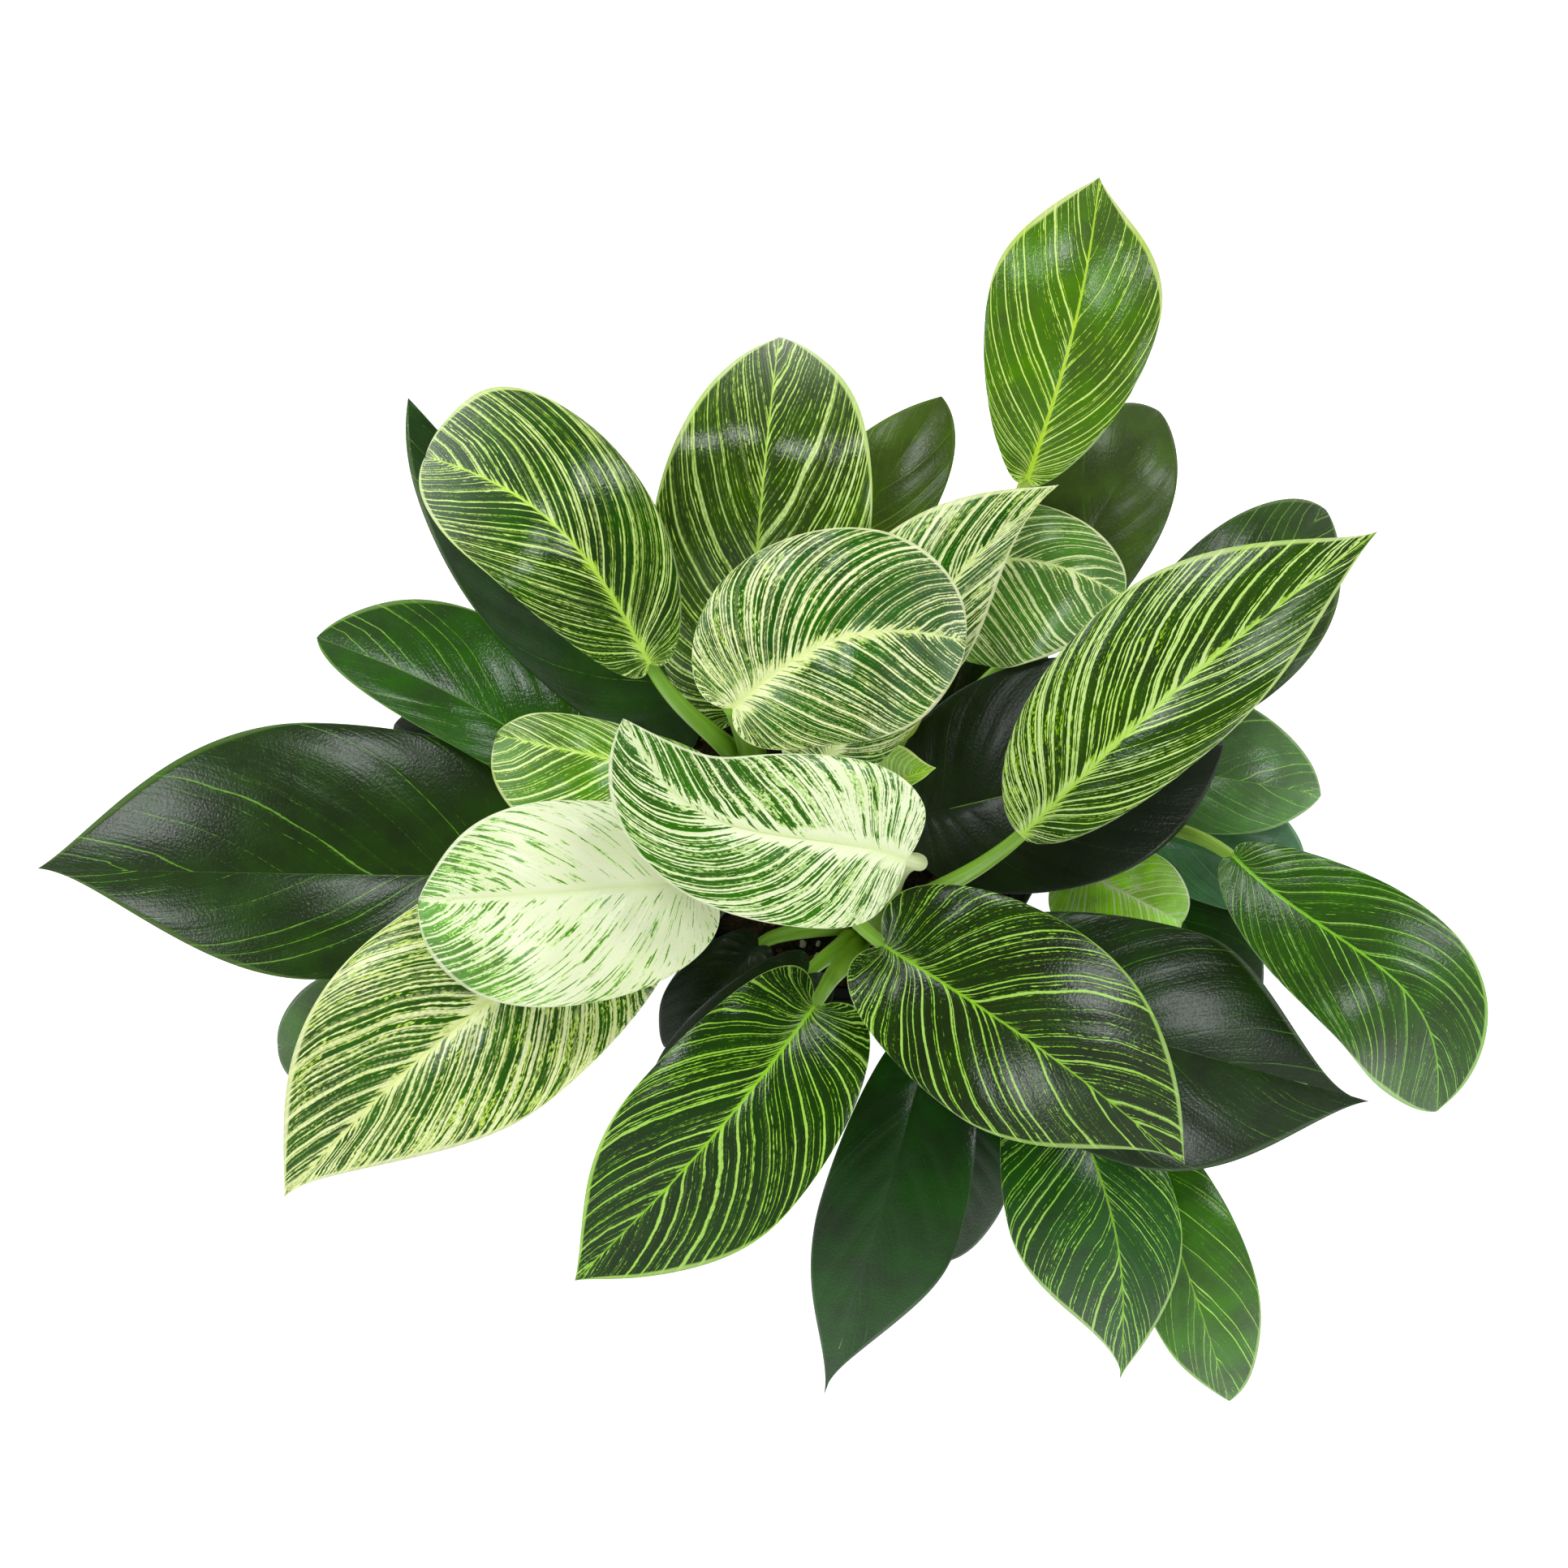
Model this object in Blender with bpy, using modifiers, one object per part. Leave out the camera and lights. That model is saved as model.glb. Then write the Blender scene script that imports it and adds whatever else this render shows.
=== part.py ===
"""Potted variegated philodendron, birkin type: three short-stemmed plants in a black nursery pot.

Sizes below are millimetres and degrees; the objects are made in metres, +Z up.
The origin is the middle of the pot's flat underside, on the surface that the pot stands on.
Plan places, written u, v, are what an eye straight above the pot sees, measured at
PLAN_LEVEL: u runs right, v runs up the picture. A point below that level lies further
out than its plan place, and a point above it lies further in.
"""

from dataclasses import dataclass
import math

import bmesh
import bpy
from mathutils import Matrix, Vector

MM = 0.001

# The eye that the plan places belong to
EYE_HEIGHT = 1400.0
EYE_X = -22.0
EYE_Y = 4.0
PLAN_LEVEL = 300.0

# Nursery pot, thin moulded plastic
POT_HEIGHT = 130.0
POT_RIM_RADIUS = 75.0
POT_BASE_RADIUS = 54.0
POT_WALL = 1.6
POT_FLOOR = 2.4
RIM_DEPTH = 12.0
RIM_STEP = 2.2
DRAIN_RING_INNER = 26.0
DRAIN_RING_OUTER = 45.0
DRAIN_RING_RISE = 2.0
POT_SIDES = 36
DRAIN_HOLES = 8
DRAIN_RADIUS = 5.0
DRAIN_CIRCLE = 35.0

# Potting mix
SOIL_TOP = 117.0
SOIL_RINGS = (0.0, 14.0, 27.0, 39.0, 50.0, 60.0)
SOIL_LUMP = 1.6
FIT_GAP = 0.35

# Stems: foot in the pot (x, y), lean of the top (x, y) and height above the mix
STEM_RADIUS = 9.5
STEM_TOP_RADIUS = 6.0
STEM_ROOT_DEPTH = 28.0
STEM_RINGS = 11.0
STEM_STEP = 5.5
STEM_CROWN = ((3.0, 0.75), (5.0, 0.3))
STEMS = {
    "a": dict(foot=(9.0, -42.0), lean=(3.0, -3.0), height=68.0),
    "b": dict(foot=(-28.0, 2.0), lean=(-2.0, 3.0), height=74.0),
    "c": dict(foot=(6.0, 0.0), lean=(3.0, 2.0), height=66.0),
}

# Blades and petioles
BLADE_THICKNESS = 0.8
VEINS = 7
VEIN_STEPS = 3
PETIOLE_FOOT = 4.4
PETIOLE_MIDDLE = 3.1
PETIOLE_NECK = 2.6
RIB_END = 0.9
RIB_SHARE = 0.28
PETIOLE_STEPS = 6


@dataclass
class Leaf:
    """One leaf. base and tip are (u, v, height); half is the true width to the left and to the right.

    seat moves the petiole's foot, which is a leaning octagon, to about 0.3 mm from the ringed stem.
    """

    name: str
    stem: str
    node: float
    base: tuple
    tip: tuple
    half: tuple
    rise: float = 15.0
    dip: float = -30.0
    sway: float = 0.0
    late: float = 1.0
    fold: float = 14.0
    curl: float = -26.0
    roll: float = 0.0
    twist: float = 0.0
    lobe: float = 0.10
    heart: float = 1.0
    widest: tuple = (0.45, 0.45)
    full: tuple = (0.6, 0.6)
    climb: float = 55.0
    leave: float = 50.0
    swing: float = 0.0
    seat: float = 0.0


LEAVES = [
    # Upper leaves, cream and green
    Leaf("leaf_01", "c", 60, (75, 94, 238), (97.2, 187, 250), (29.5, 26.5),
         rise=35, sway=-2.5, lobe=0.08, heart=0.3, widest=(0.57, 0.58), full=(0.35, 0.15), leave=70),
    Leaf("leaf_02", "b", 48, (-12.8, 21.5, 190), (-1.5, 137.8, 208), (35, 36.5),
         rise=35, dip=-62, widest=(0.45, 0.5), full=(0.2, 0.5), seat=0.3),
    Leaf("leaf_03", "b", 58, (-41.5, 37, 250), (-110.5, 101, 218), (26, 32.5),
         rise=28, dip=-62, sway=-12, lobe=0.07, heart=0.6, widest=(0.45, 0.6), full=(0.8, 0.8), leave=65,
         seat=0.1),
    Leaf("leaf_08", "b", 66, (-25.2, -29.8, 280), (-112.8, -36, 248), (36, 29),
         dip=-52, full=(0.9, 0.35), seat=-0.2),
    Leaf("leaf_09", "b", 42, (-50.2, -37.2, 238), (-154, -127.2, 196), (38, 40.5),
         sway=-5, widest=(0.36, 0.45), full=(-0.1, 0.3), lobe=0.14, seat=-0.5),
    Leaf("leaf_10", "a", 64, (37.8, -23.5, 312), (-49.5, 20.2, 330), (27, 26.5),
         rise=8, dip=25, sway=15, late=1.5, widest=(0.32, 0.22), full=(0.7, 0.4), lobe=0.02, heart=1.3,
         climb=72, leave=65, seat=-0.5),
    Leaf("leaf_11", "b", 56, (-24, 1.5, 232), (-88.5, 15.2, 205), (28, 12),
         rise=20, dip=-60, full=(0.9, 0.7)),
    Leaf("leaf_12", "b", 72, (-15.8, 23.2, 296), (56, 44, 270), (34.5, 33),
         rise=32, dip=-62, sway=11, heart=0.75, widest=(0.34, 0.45), full=(0.6, 0.75)),
    Leaf("leaf_13", "b", 60, (11, 5.2, 228), (84.8, 92.2, 250), (29, 19),
         rise=25, dip=5, sway=6, late=1.4, full=(0.3, -0.25)),
    Leaf("leaf_16", "a", 60, (73, -16, 262), (183, 77.8, 258), (35, 21.5),
         rise=18, dip=-18, sway=4, widest=(0.45, 0.44), full=(0.12, 0.1), lobe=0, heart=0.85, leave=65),
    Leaf("leaf_25", "b", 64, (31, -49.8, 262), (123.5, -117.2, 218), (38, 33),
         dip=-35, sway=3, full=(0.25, -0.2), widest=(0.38, 0.38), seat=-0.7),
    Leaf("leaf_26", "a", 52, (9.2, -68.5, 240), (-64.5, -153, 192), (35, 30),
         sway=2.5, full=(0.25, 0.25), lobe=0.12, heart=1.1, widest=(0.43, 0.45), seat=-0.5),
    # Middle leaves
    Leaf("leaf_05", "b", 28, (-60, 0, 170), (-144, 45.2, 149), (15.5, 30.5),
         dip=-25, sway=-5, roll=5, full=(0.8, 0.65)),
    Leaf("leaf_14", "c", 50, (36, 62.8, 195), (104.8, 57.8, 190), (20, 37),
         rise=12, dip=-50, sway=9, full=(0.85, 0.85), widest=(0.4, 0.4), fold=5, swing=15, seat=-0.2),
    Leaf("leaf_19", "c", 50, (41.8, -9.8, 199), (135.5, 12.8, 192), (43, 36),
         rise=10, dip=-22, fold=6, roll=-4),
    Leaf("leaf_21", "c", 64, (28.5, -1, 208), (46.8, 5, 228), (16.5, 4.5),
         rise=40, dip=20, fold=30, curl=20, widest=(0.78, 0.5), full=(0.1, 0.3), swing=-25, seat=-0.2),
    Leaf("leaf_22", "a", 36, (88, -25, 176), (122.8, -42.8, 156), (17, 24),
         dip=-50, widest=(0.45, 0.3), full=(0.9, 0.9)),
    Leaf("leaf_23", "c", 40, (138.5, -22.2, 205), (201, -101, 158), (25.5, 28),
         dip=-55, sway=15, late=1.6, lobe=0.05, heart=0.7, widest=(0.5, 0.55), full=(0.35, 0.8)),
    Leaf("leaf_24", "a", 44, (56, -62.2, 198), (180.5, -97.8, 152), (40, 43),
         rise=12, full=(-0.4, 0.05), seat=0.1),
    Leaf("leaf_29", "a", 32, (86, -93.5, 186), (103.5, -183.5, 118), (23, 35.5),
         rise=10, dip=-48, sway=7, full=(0, -0.3), widest=(0.4, 0.33), seat=0.2),
    Leaf("leaf_30", "a", 16, (108.5, -108.5, 160), (137.2, -190.2, 98), (22.5, 18),
         rise=10, dip=-48, full=(0.65, 0.35), heart=0.8),
    # Lower, older, dark leaves
    Leaf("leaf_04", "b", 34, (-26, 19, 177), (-115.8, 119, 200), (35, 18),
         rise=20, dip=5, roll=-25, full=(0.6, -0.7)),
    Leaf("leaf_06", "b", 18, (-69, -28.5, 152), (-230, -26, 134), (37, 53),
         dip=-22, widest=(0.45, 0.46), full=(-0.1, 0.2), seat=-0.3),
    Leaf("leaf_07", "c", 40, (4.8, 51.5, 177), (48.5, 119.5, 188), (20, 20),
         rise=20, dip=-10, widest=(0.45, 0.5), full=(0.45, 0.9)),
    Leaf("leaf_15", "c", 42, (76, 46.5, 176), (115.5, 115, 183), (27, 21.5),
         rise=22, widest=(0.45, 0.5), full=(0.95, 0.7)),
    Leaf("leaf_17", "c", 32, (108.5, 26.5, 176), (167, 84.5, 168), (24, 32),
         dip=-35, full=(0.8, 0.6), leave=60, seat=-0.3),
    Leaf("leaf_18", "c", 20, (92.2, 9, 150), (165.5, -3.5, 140), (30, 20.5),
         rise=12, dip=-45, widest=(0.35, 0.45), full=(0.45, 0.5)),
    Leaf("leaf_20", "c", 22, (36, 14, 147), (81, 41.5, 156), (22, 22), rise=20, dip=-20),
    Leaf("leaf_27", "a", 20, (43.5, -83.5, 190), (12.2, -188.5, 122), (28, 21.5),
         rise=10, dip=-42, widest=(0.42, 0.4), full=(-0.35, -0.1)),
    Leaf("leaf_28", "a", 7, (51, -91, 152), (49, -147.5, 112), (22, 18),
         rise=10, dip=-40, full=(0.6, 0.6), seat=-0.1),
    Leaf("leaf_31", "b", 26, (-77.8, -79.8, 156), (-156, -81, 120), (22, 30),
         rise=8, dip=-45, full=(0.9, 0.9), swing=38, seat=0.2),
    Leaf("leaf_32", "c", 8, (102.2, -12.2, 150), (159.2, -31, 136), (24, 17),
         rise=10, widest=(0.55, 0.55), full=(0.95, 0.95), leave=60, climb=40),
    Leaf("leaf_33", "a", 8, (114.8, -28.5, 141), (141, -76, 122), (21, 20),
         rise=10, full=(0.7, 0.7), leave=60, climb=40, seat=-0.2),
    Leaf("leaf_34", "a", 40, (7.2, -58.5, 182), (-42, -106.5, 145), (20, 18),
         rise=10, dip=-35, lobe=0.12, seat=-0.5),
    Leaf("leaf_35", "a", 10, (-7.8, -49.8, 142), (-37, -81, 126), (12, 15), rise=10, dip=-35),
    Leaf("leaf_36", "b", 6, (-57.8, -8.5, 146), (-120.2, 18.2, 130), (20, 20),
         rise=10, full=(0.8, 0.8), leave=60, climb=40, seat=-0.2),
]


def plan_point(place):
    """The real position of a plan place (u, v) at a height, as a vector in millimetres."""
    u, v, z = place
    spread = (EYE_HEIGHT - z) / (EYE_HEIGHT - PLAN_LEVEL)
    return Vector((EYE_X + u * spread, EYE_Y + v * spread, z))


def bezier(points, t):
    """A point on the Bezier curve with four control points."""
    a, b, c, d = points
    s = 1.0 - t
    return a * s**3 + b * (3 * s * s * t) + c * (3 * s * t * t) + d * t**3


class Midrib:
    """The centre line of a blade, read by its share of length, with the way across and the way up."""

    STATIONS = 40

    def __init__(self, leaf):
        base = plan_point(leaf.base)
        tip = plan_point(leaf.tip)
        run = (tip - base).to_2d()
        reach = run.length
        left = Vector((-run.y, run.x, 0.0)) / reach
        rise = reach * math.tan(math.radians(leaf.rise))
        dip = reach * math.tan(math.radians(leaf.dip))
        self.leaf = leaf
        self.points = []
        for i in range(self.STATIONS + 1):
            s = i / self.STATIONS
            point = base.lerp(tip, s) + left * (leaf.sway * math.sin(math.pi * s**leaf.late))
            slope_in = s * (1 - s) ** 2 * rise
            slope_out = s * s * (s - 1) * dip
            level = base.z + (tip.z - base.z) * s * s * (3 - 2 * s)
            point.z = level + slope_in + slope_out
            self.points.append(point)
        self.lengths = [0.0]
        for before, after in zip(self.points, self.points[1:]):
            self.lengths.append(self.lengths[-1] + (after - before).length)
        self.length = self.lengths[-1]

    def at(self, share):
        """Point, tangent, left and normal at a share of the length; below 0 it runs straight on backwards."""
        wanted = min(max(share, 0.0), 1.0) * self.length
        i = 0
        while i < self.STATIONS - 1 and self.lengths[i + 1] < wanted:
            i += 1
        part = (wanted - self.lengths[i]) / (self.lengths[i + 1] - self.lengths[i])
        point = self.points[i].lerp(self.points[i + 1], part)
        before = self.points[max(i - 1, 0)]
        after = self.points[min(i + 2, self.STATIONS)]
        tangent = (after - before).normalized()
        left = Vector((-tangent.y, tangent.x, 0.0)).normalized()
        turn = Matrix.Rotation(math.radians(self.leaf.roll + self.leaf.twist * share), 3, tangent)
        left = turn @ left
        normal = tangent.cross(left).normalized()
        if share < 0:
            point = point + tangent * (share * self.length)
        return point, tangent, left, normal


def outline_point(leaf, t, side):
    """The margin of one half blade, t from the notch at 0 to the tip at 1.

    x is the share of the length and y the share of the half width.
    """
    half = 0 if side > 0 else 1
    wide, full = leaf.widest[half], leaf.full[half]
    turn = 0.45
    if t < turn:
        heart = leaf.heart
        points = ((0, 0), (-leaf.lobe * 1.5, 0.5 * heart), (wide * (0.75 - 0.45 * heart), 1.0), (wide, 1.0))
        t = t / turn
    else:
        shoulder = wide + (1 - wide) * (0.42 + 0.2 * full)
        points = ((wide, 1.0), (shoulder, 1.0), (0.86 + 0.11 * full, 0.1 + 0.5 * full), (1.0, 0.0))
        t = (t - turn) / (1 - turn)
    return bezier([Vector(p) for p in points], t)


def blade_point(leaf, midrib, t, side, along):
    """A point of the blade on the vein t, from the midrib at along 0 to the margin at 1.

    side is 1 on the left and -1 on the right.
    """
    margin = outline_point(leaf, t, side)
    root = t**2.2
    x = root + (margin.x - root) * along * (0.7 + 0.3 * along)
    y = margin.y * along * (1.24 - 0.24 * along)
    half = leaf.half[0] if side > 0 else leaf.half[1]
    across = y * half
    start = math.radians(leaf.fold)
    bend = math.radians(leaf.curl) / half
    out = (math.sin(start + bend * across) - math.sin(start)) / bend
    up = (math.cos(start) - math.cos(start + bend * across)) / bend
    point, _, left, normal = midrib.at(x)
    return point + left * (side * out) + normal * up


def petiole_points(leaf, midrib):
    """Centre line of the petiole and the start of the rib, as (point, radius) from the stem outwards."""
    base, tangent, _, normal = midrib.at(0.0)
    neck = base - normal * (PETIOLE_NECK - 0.5)
    foot_axis = stem_axis(leaf.stem, leaf.node)
    outward = (neck - foot_axis).to_2d().normalized().to_3d()
    outward = Matrix.Rotation(math.radians(leaf.swing), 3, "Z") @ outward
    leave = math.radians(leaf.leave)
    start_way = outward * math.cos(leave) + Vector((0, 0, math.sin(leave)))
    flat = tangent.to_2d().normalized().to_3d()
    climb = math.radians(leaf.climb)
    end_way = flat * math.cos(climb) + Vector((0, 0, math.sin(climb)))
    slope = leave
    for _ in range(3):
        # The foot's cut end leans, so its upper edge is what comes nearest to the stem
        nearest = leaf.node + PETIOLE_FOOT * math.cos(slope)
        seat = stem_radius(leaf.stem, nearest) + leaf.seat + PETIOLE_FOOT * math.sin(slope)
        foot = foot_axis + outward * seat
        reach = (neck - foot).length
        curve = (foot, foot + start_way * reach * 0.4, neck - end_way * reach * 0.35, neck)
        slope = math.asin((bezier(curve, 1 / PETIOLE_STEPS) - foot).normalized().z)
    line = []
    for i in range(PETIOLE_STEPS + 1):
        t = i / PETIOLE_STEPS
        radius = PETIOLE_MIDDLE + (PETIOLE_FOOT - PETIOLE_MIDDLE) * (1 - t) ** 4
        radius += (PETIOLE_NECK - PETIOLE_MIDDLE) * t * t
        line.append((bezier(curve, t), radius))
    for share in (0.13, RIB_SHARE):
        point, _, _, normal = midrib.at(share)
        radius = PETIOLE_NECK + (RIB_END - PETIOLE_NECK) * share / RIB_SHARE
        line.append((point - normal * (radius - 0.5), radius))
    return line


def stem_axis(key, above):
    """The point on a stem's centre line at a height above the mix."""
    stem = STEMS[key]
    share = max(above, 0.0) / stem["height"]
    x = stem["foot"][0] + stem["lean"][0] * share
    y = stem["foot"][1] + stem["lean"][1] * share
    return Vector((x, y, SOIL_TOP + above))


def stem_radius(key, above):
    """Radius of a stem, with the low rings where leaves have stood."""
    share = min(max(above, 0.0) / STEMS[key]["height"], 1.0)
    plain = STEM_RADIUS + (STEM_TOP_RADIUS - STEM_RADIUS) * share**2
    return plain * (1.0 + 0.05 * math.cos(2 * math.pi * above / STEM_RINGS))


def material(name, colour, roughness):
    made = bpy.data.materials.new(name)
    made.use_nodes = True
    shader = made.node_tree.nodes["Principled BSDF"]
    shader.inputs["Base Color"].default_value = (*colour, 1.0)
    shader.inputs["Roughness"].default_value = roughness
    return made


def add_object(name, mesh, collection, finish=None):
    made = bpy.data.objects.new(name, mesh)
    collection.objects.link(made)
    if finish:
        mesh.materials.append(finish)
    return made


def make_helper(made):
    made.hide_render = True
    made.display_type = "WIRE"
    return made


def tube(name, line, sides_step, collection):
    """A closed mesh tube through (point, radius) pairs, from a curve with a bevel and filled caps."""
    data = bpy.data.curves.new(name, "CURVE")
    data.dimensions = "3D"
    data.bevel_depth = MM
    data.bevel_resolution = sides_step
    data.use_fill_caps = True
    spline = data.splines.new("POLY")
    spline.points.add(len(line) - 1)
    for point, (place, radius) in zip(spline.points, line):
        point.co = (*(place * MM), 1.0)
        point.radius = radius
    curve = bpy.data.objects.new(name + "_line", data)
    collection.objects.link(curve)
    graph = bpy.context.evaluated_depsgraph_get()
    mesh = bpy.data.meshes.new_from_object(curve.evaluated_get(graph))
    mesh.transform(curve.matrix_world)
    bpy.data.objects.remove(curve)
    shape = bmesh.new()
    shape.from_mesh(mesh)
    bmesh.ops.remove_doubles(shape, verts=shape.verts, dist=0.00001)
    shape.to_mesh(mesh)
    shape.free()
    return add_object(name, mesh, collection)


def turned(name, profile, collection, finish, sides):
    """A body turned about Z from (radius, height) points that run down its outer side."""
    mesh = bpy.data.meshes.new(name)
    points = [(radius * MM, 0.0, height * MM) for radius, height in profile]
    mesh.from_pydata(points, [(i, i + 1) for i in range(len(points) - 1)], [])
    made = add_object(name, mesh, collection, finish)
    screw = made.modifiers.new("turn", "SCREW")
    screw.steps = sides
    screw.render_steps = sides
    screw.use_merge_vertices = True
    screw.merge_threshold = 0.00001
    return made


def pot_wall_radius(height):
    """Outer radius of the pot's wall below the rim band."""
    top = POT_RIM_RADIUS - RIM_STEP
    return POT_BASE_RADIUS + (top - POT_BASE_RADIUS) * height / POT_HEIGHT


def make_pot(parts, helpers, finish):
    band = POT_HEIGHT - RIM_DEPTH
    raised = DRAIN_RING_RISE + POT_FLOOR
    profile = [
        (0.0, POT_FLOOR),
        (DRAIN_RING_INNER, POT_FLOOR),
        (DRAIN_RING_INNER + 1.5, raised),
        (DRAIN_RING_OUTER - 1.5, raised),
        (DRAIN_RING_OUTER, POT_FLOOR),
        (pot_wall_radius(POT_FLOOR) - POT_WALL, POT_FLOOR),
        (pot_wall_radius(band) - POT_WALL, band),
        (POT_RIM_RADIUS - POT_WALL - 0.6, band + 3.0),
        (POT_RIM_RADIUS - POT_WALL - 0.4, POT_HEIGHT - 0.6),
        (POT_RIM_RADIUS - POT_WALL * 0.5, POT_HEIGHT),
        (POT_RIM_RADIUS, POT_HEIGHT - 0.8),
        (POT_RIM_RADIUS - 0.4, band),
        (pot_wall_radius(band), band - 0.6),
        (POT_BASE_RADIUS + 0.4, 1.2),
        (POT_BASE_RADIUS - 1.0, 0.0),
        (DRAIN_RING_OUTER, 0.0),
        (DRAIN_RING_OUTER - 1.5, DRAIN_RING_RISE),
        (DRAIN_RING_INNER + 1.5, DRAIN_RING_RISE),
        (DRAIN_RING_INNER, 0.0),
        (0.0, 0.0),
    ]
    pot = turned("pot", profile, parts, finish, POT_SIDES)
    drains = bpy.data.collections.new("drain_cutters")
    helpers.children.link(drains)
    for i in range(DRAIN_HOLES):
        way = 2 * math.pi * i / DRAIN_HOLES
        shape = bmesh.new()
        radius = DRAIN_RADIUS * MM
        bmesh.ops.create_cone(
            shape, cap_ends=True, segments=8, depth=20 * MM, radius1=radius, radius2=radius
        )
        mesh = bpy.data.meshes.new(f"drain_{i}")
        shape.to_mesh(mesh)
        shape.free()
        cutter = make_helper(add_object(f"drain_{i}", mesh, drains))
        cutter.location = Vector((math.cos(way), math.sin(way), 0.0)) * DRAIN_CIRCLE * MM
    cut = pot.modifiers.new("drains", "BOOLEAN")
    cut.operand_type = "COLLECTION"
    cut.collection = drains
    cut.operation = "DIFFERENCE"


def soil_level(x, y):
    """Height of the mix's lumpy surface, lower towards the wall."""
    radius = math.hypot(x, y)
    lumps = math.sin(x * 0.31 + 1.3) * math.cos(y * 0.27) + 0.6 * math.sin(x * 0.53 - y * 0.61)
    return SOIL_TOP + SOIL_LUMP * 0.5 * lumps - 1.2 * (radius / POT_RIM_RADIUS) ** 2


def make_soil(parts, stem_cutters, finish):
    inner = pot_wall_radius(SOIL_TOP) - POT_WALL - FIT_GAP
    low = pot_wall_radius(POT_FLOOR) - POT_WALL - FIT_GAP
    floor = DRAIN_RING_RISE + POT_FLOOR + FIT_GAP
    low += (inner - low) * (floor - POT_FLOOR) / (SOIL_TOP - POT_FLOOR)
    profile = [(radius, SOIL_TOP) for radius in SOIL_RINGS]
    profile += [(inner - 0.4, SOIL_TOP), (low, floor), (0.0, floor)]
    rough = turned("soil_rough", profile, parts, None, 28)
    graph = bpy.context.evaluated_depsgraph_get()
    mesh = bpy.data.meshes.new_from_object(rough.evaluated_get(graph))
    bpy.data.objects.remove(rough)
    for vertex in mesh.vertices:
        if vertex.co.z > (SOIL_TOP - 1.0) * MM:
            vertex.co.z = soil_level(vertex.co.x / MM, vertex.co.y / MM) * MM
    soil = add_object("soil", mesh, parts, finish)
    for cutter in stem_cutters:
        cut = soil.modifiers.new(cutter.name, "BOOLEAN")
        cut.object = cutter
        cut.operation = "DIFFERENCE"


def stem_line(key, grow):
    """Centre line and radii of a stem from its rooted end to its top; grow widens it, for its hole."""
    height = STEMS[key]["height"]
    count = round((height + STEM_ROOT_DEPTH) / STEM_STEP)
    line = []
    for i in range(count + 1):
        above = -STEM_ROOT_DEPTH + (height + STEM_ROOT_DEPTH) * i / count
        line.append((stem_axis(key, above), stem_radius(key, above) + grow))
    for rise, share in STEM_CROWN:
        line.append((stem_axis(key, height + rise), stem_radius(key, height) * share))
    if grow:
        line[0] = (line[0][0] - Vector((0, 0, FIT_GAP)), line[0][1])
    return line


def make_stems(parts, helpers, finish):
    cutters = []
    for key in STEMS:
        stem = tube(f"stem_{key}", stem_line(key, 0.0), 3, parts)
        stem.data.materials.append(finish)
        cutters.append(make_helper(tube(f"stem_hole_{key}", stem_line(key, FIT_GAP), 3, helpers)))
    return cutters


def make_leaf(leaf, parts, helpers, finish):
    """The blade as a thin shell on a grid of veins, joined with its petiole and rib."""
    midrib = Midrib(leaf)
    shape = bmesh.new()
    bmesh.ops.create_grid(shape, x_segments=VEINS, y_segments=2 * VEIN_STEPS, size=0.5)
    for vertex in shape.verts:
        side = 1 if vertex.co.y >= 0 else -1
        place = blade_point(leaf, midrib, vertex.co.x + 0.5, side, abs(vertex.co.y) * 2)
        vertex.co = place * MM
    bmesh.ops.remove_doubles(shape, verts=shape.verts, dist=0.00002)
    bmesh.ops.triangulate(shape, faces=shape.faces)
    mesh = bpy.data.meshes.new(leaf.name)
    shape.to_mesh(mesh)
    shape.free()
    blade = add_object(leaf.name, mesh, parts, finish)
    shell = blade.modifiers.new("thickness", "SOLIDIFY")
    shell.thickness = BLADE_THICKNESS * MM
    shell.offset = 0.0
    petiole = make_helper(tube(leaf.name + "_petiole", petiole_points(leaf, midrib), 1, helpers))
    join = blade.modifiers.new("petiole", "BOOLEAN")
    join.object = petiole
    join.operation = "UNION"


def main():
    for old in list(bpy.data.objects):
        bpy.data.objects.remove(old)
    parts = bpy.data.collections.new("potted_philodendron")
    helpers = bpy.data.collections.new("helpers")
    bpy.context.scene.collection.children.link(parts)
    bpy.context.scene.collection.children.link(helpers)
    pot_finish = material("pot_plastic", (0.012, 0.012, 0.013), 0.42)
    soil_finish = material("potting_mix", (0.022, 0.015, 0.010), 0.95)
    stem_finish = material("stem_green", (0.16, 0.27, 0.05), 0.45)
    leaf_finish = material("leaf_green", (0.05, 0.16, 0.03), 0.35)
    make_pot(parts, helpers, pot_finish)
    stem_cutters = make_stems(parts, helpers, stem_finish)
    make_soil(parts, stem_cutters, soil_finish)
    for leaf in LEAVES:
        make_leaf(leaf, parts, helpers, leaf_finish)


main()
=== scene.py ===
"""Looks of a potted variegated philodendron, birkin type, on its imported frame.

Run as a script, it makes the leaves, stems, potting mix and pot around the CAD model, and
the studio. Lengths in the tables are millimetres and angles degrees; meshes are in metres.
Plan places (u, v) are what an eye straight above the pot sees at PLAN_LEVEL.
"""

from dataclasses import dataclass
from functools import partial
from itertools import product
import math

import bmesh
import bpy
from bpy.props import FloatProperty, FloatVectorProperty, IntProperty, PointerProperty
from mathutils import Matrix, Vector, noise
import numpy as np


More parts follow.
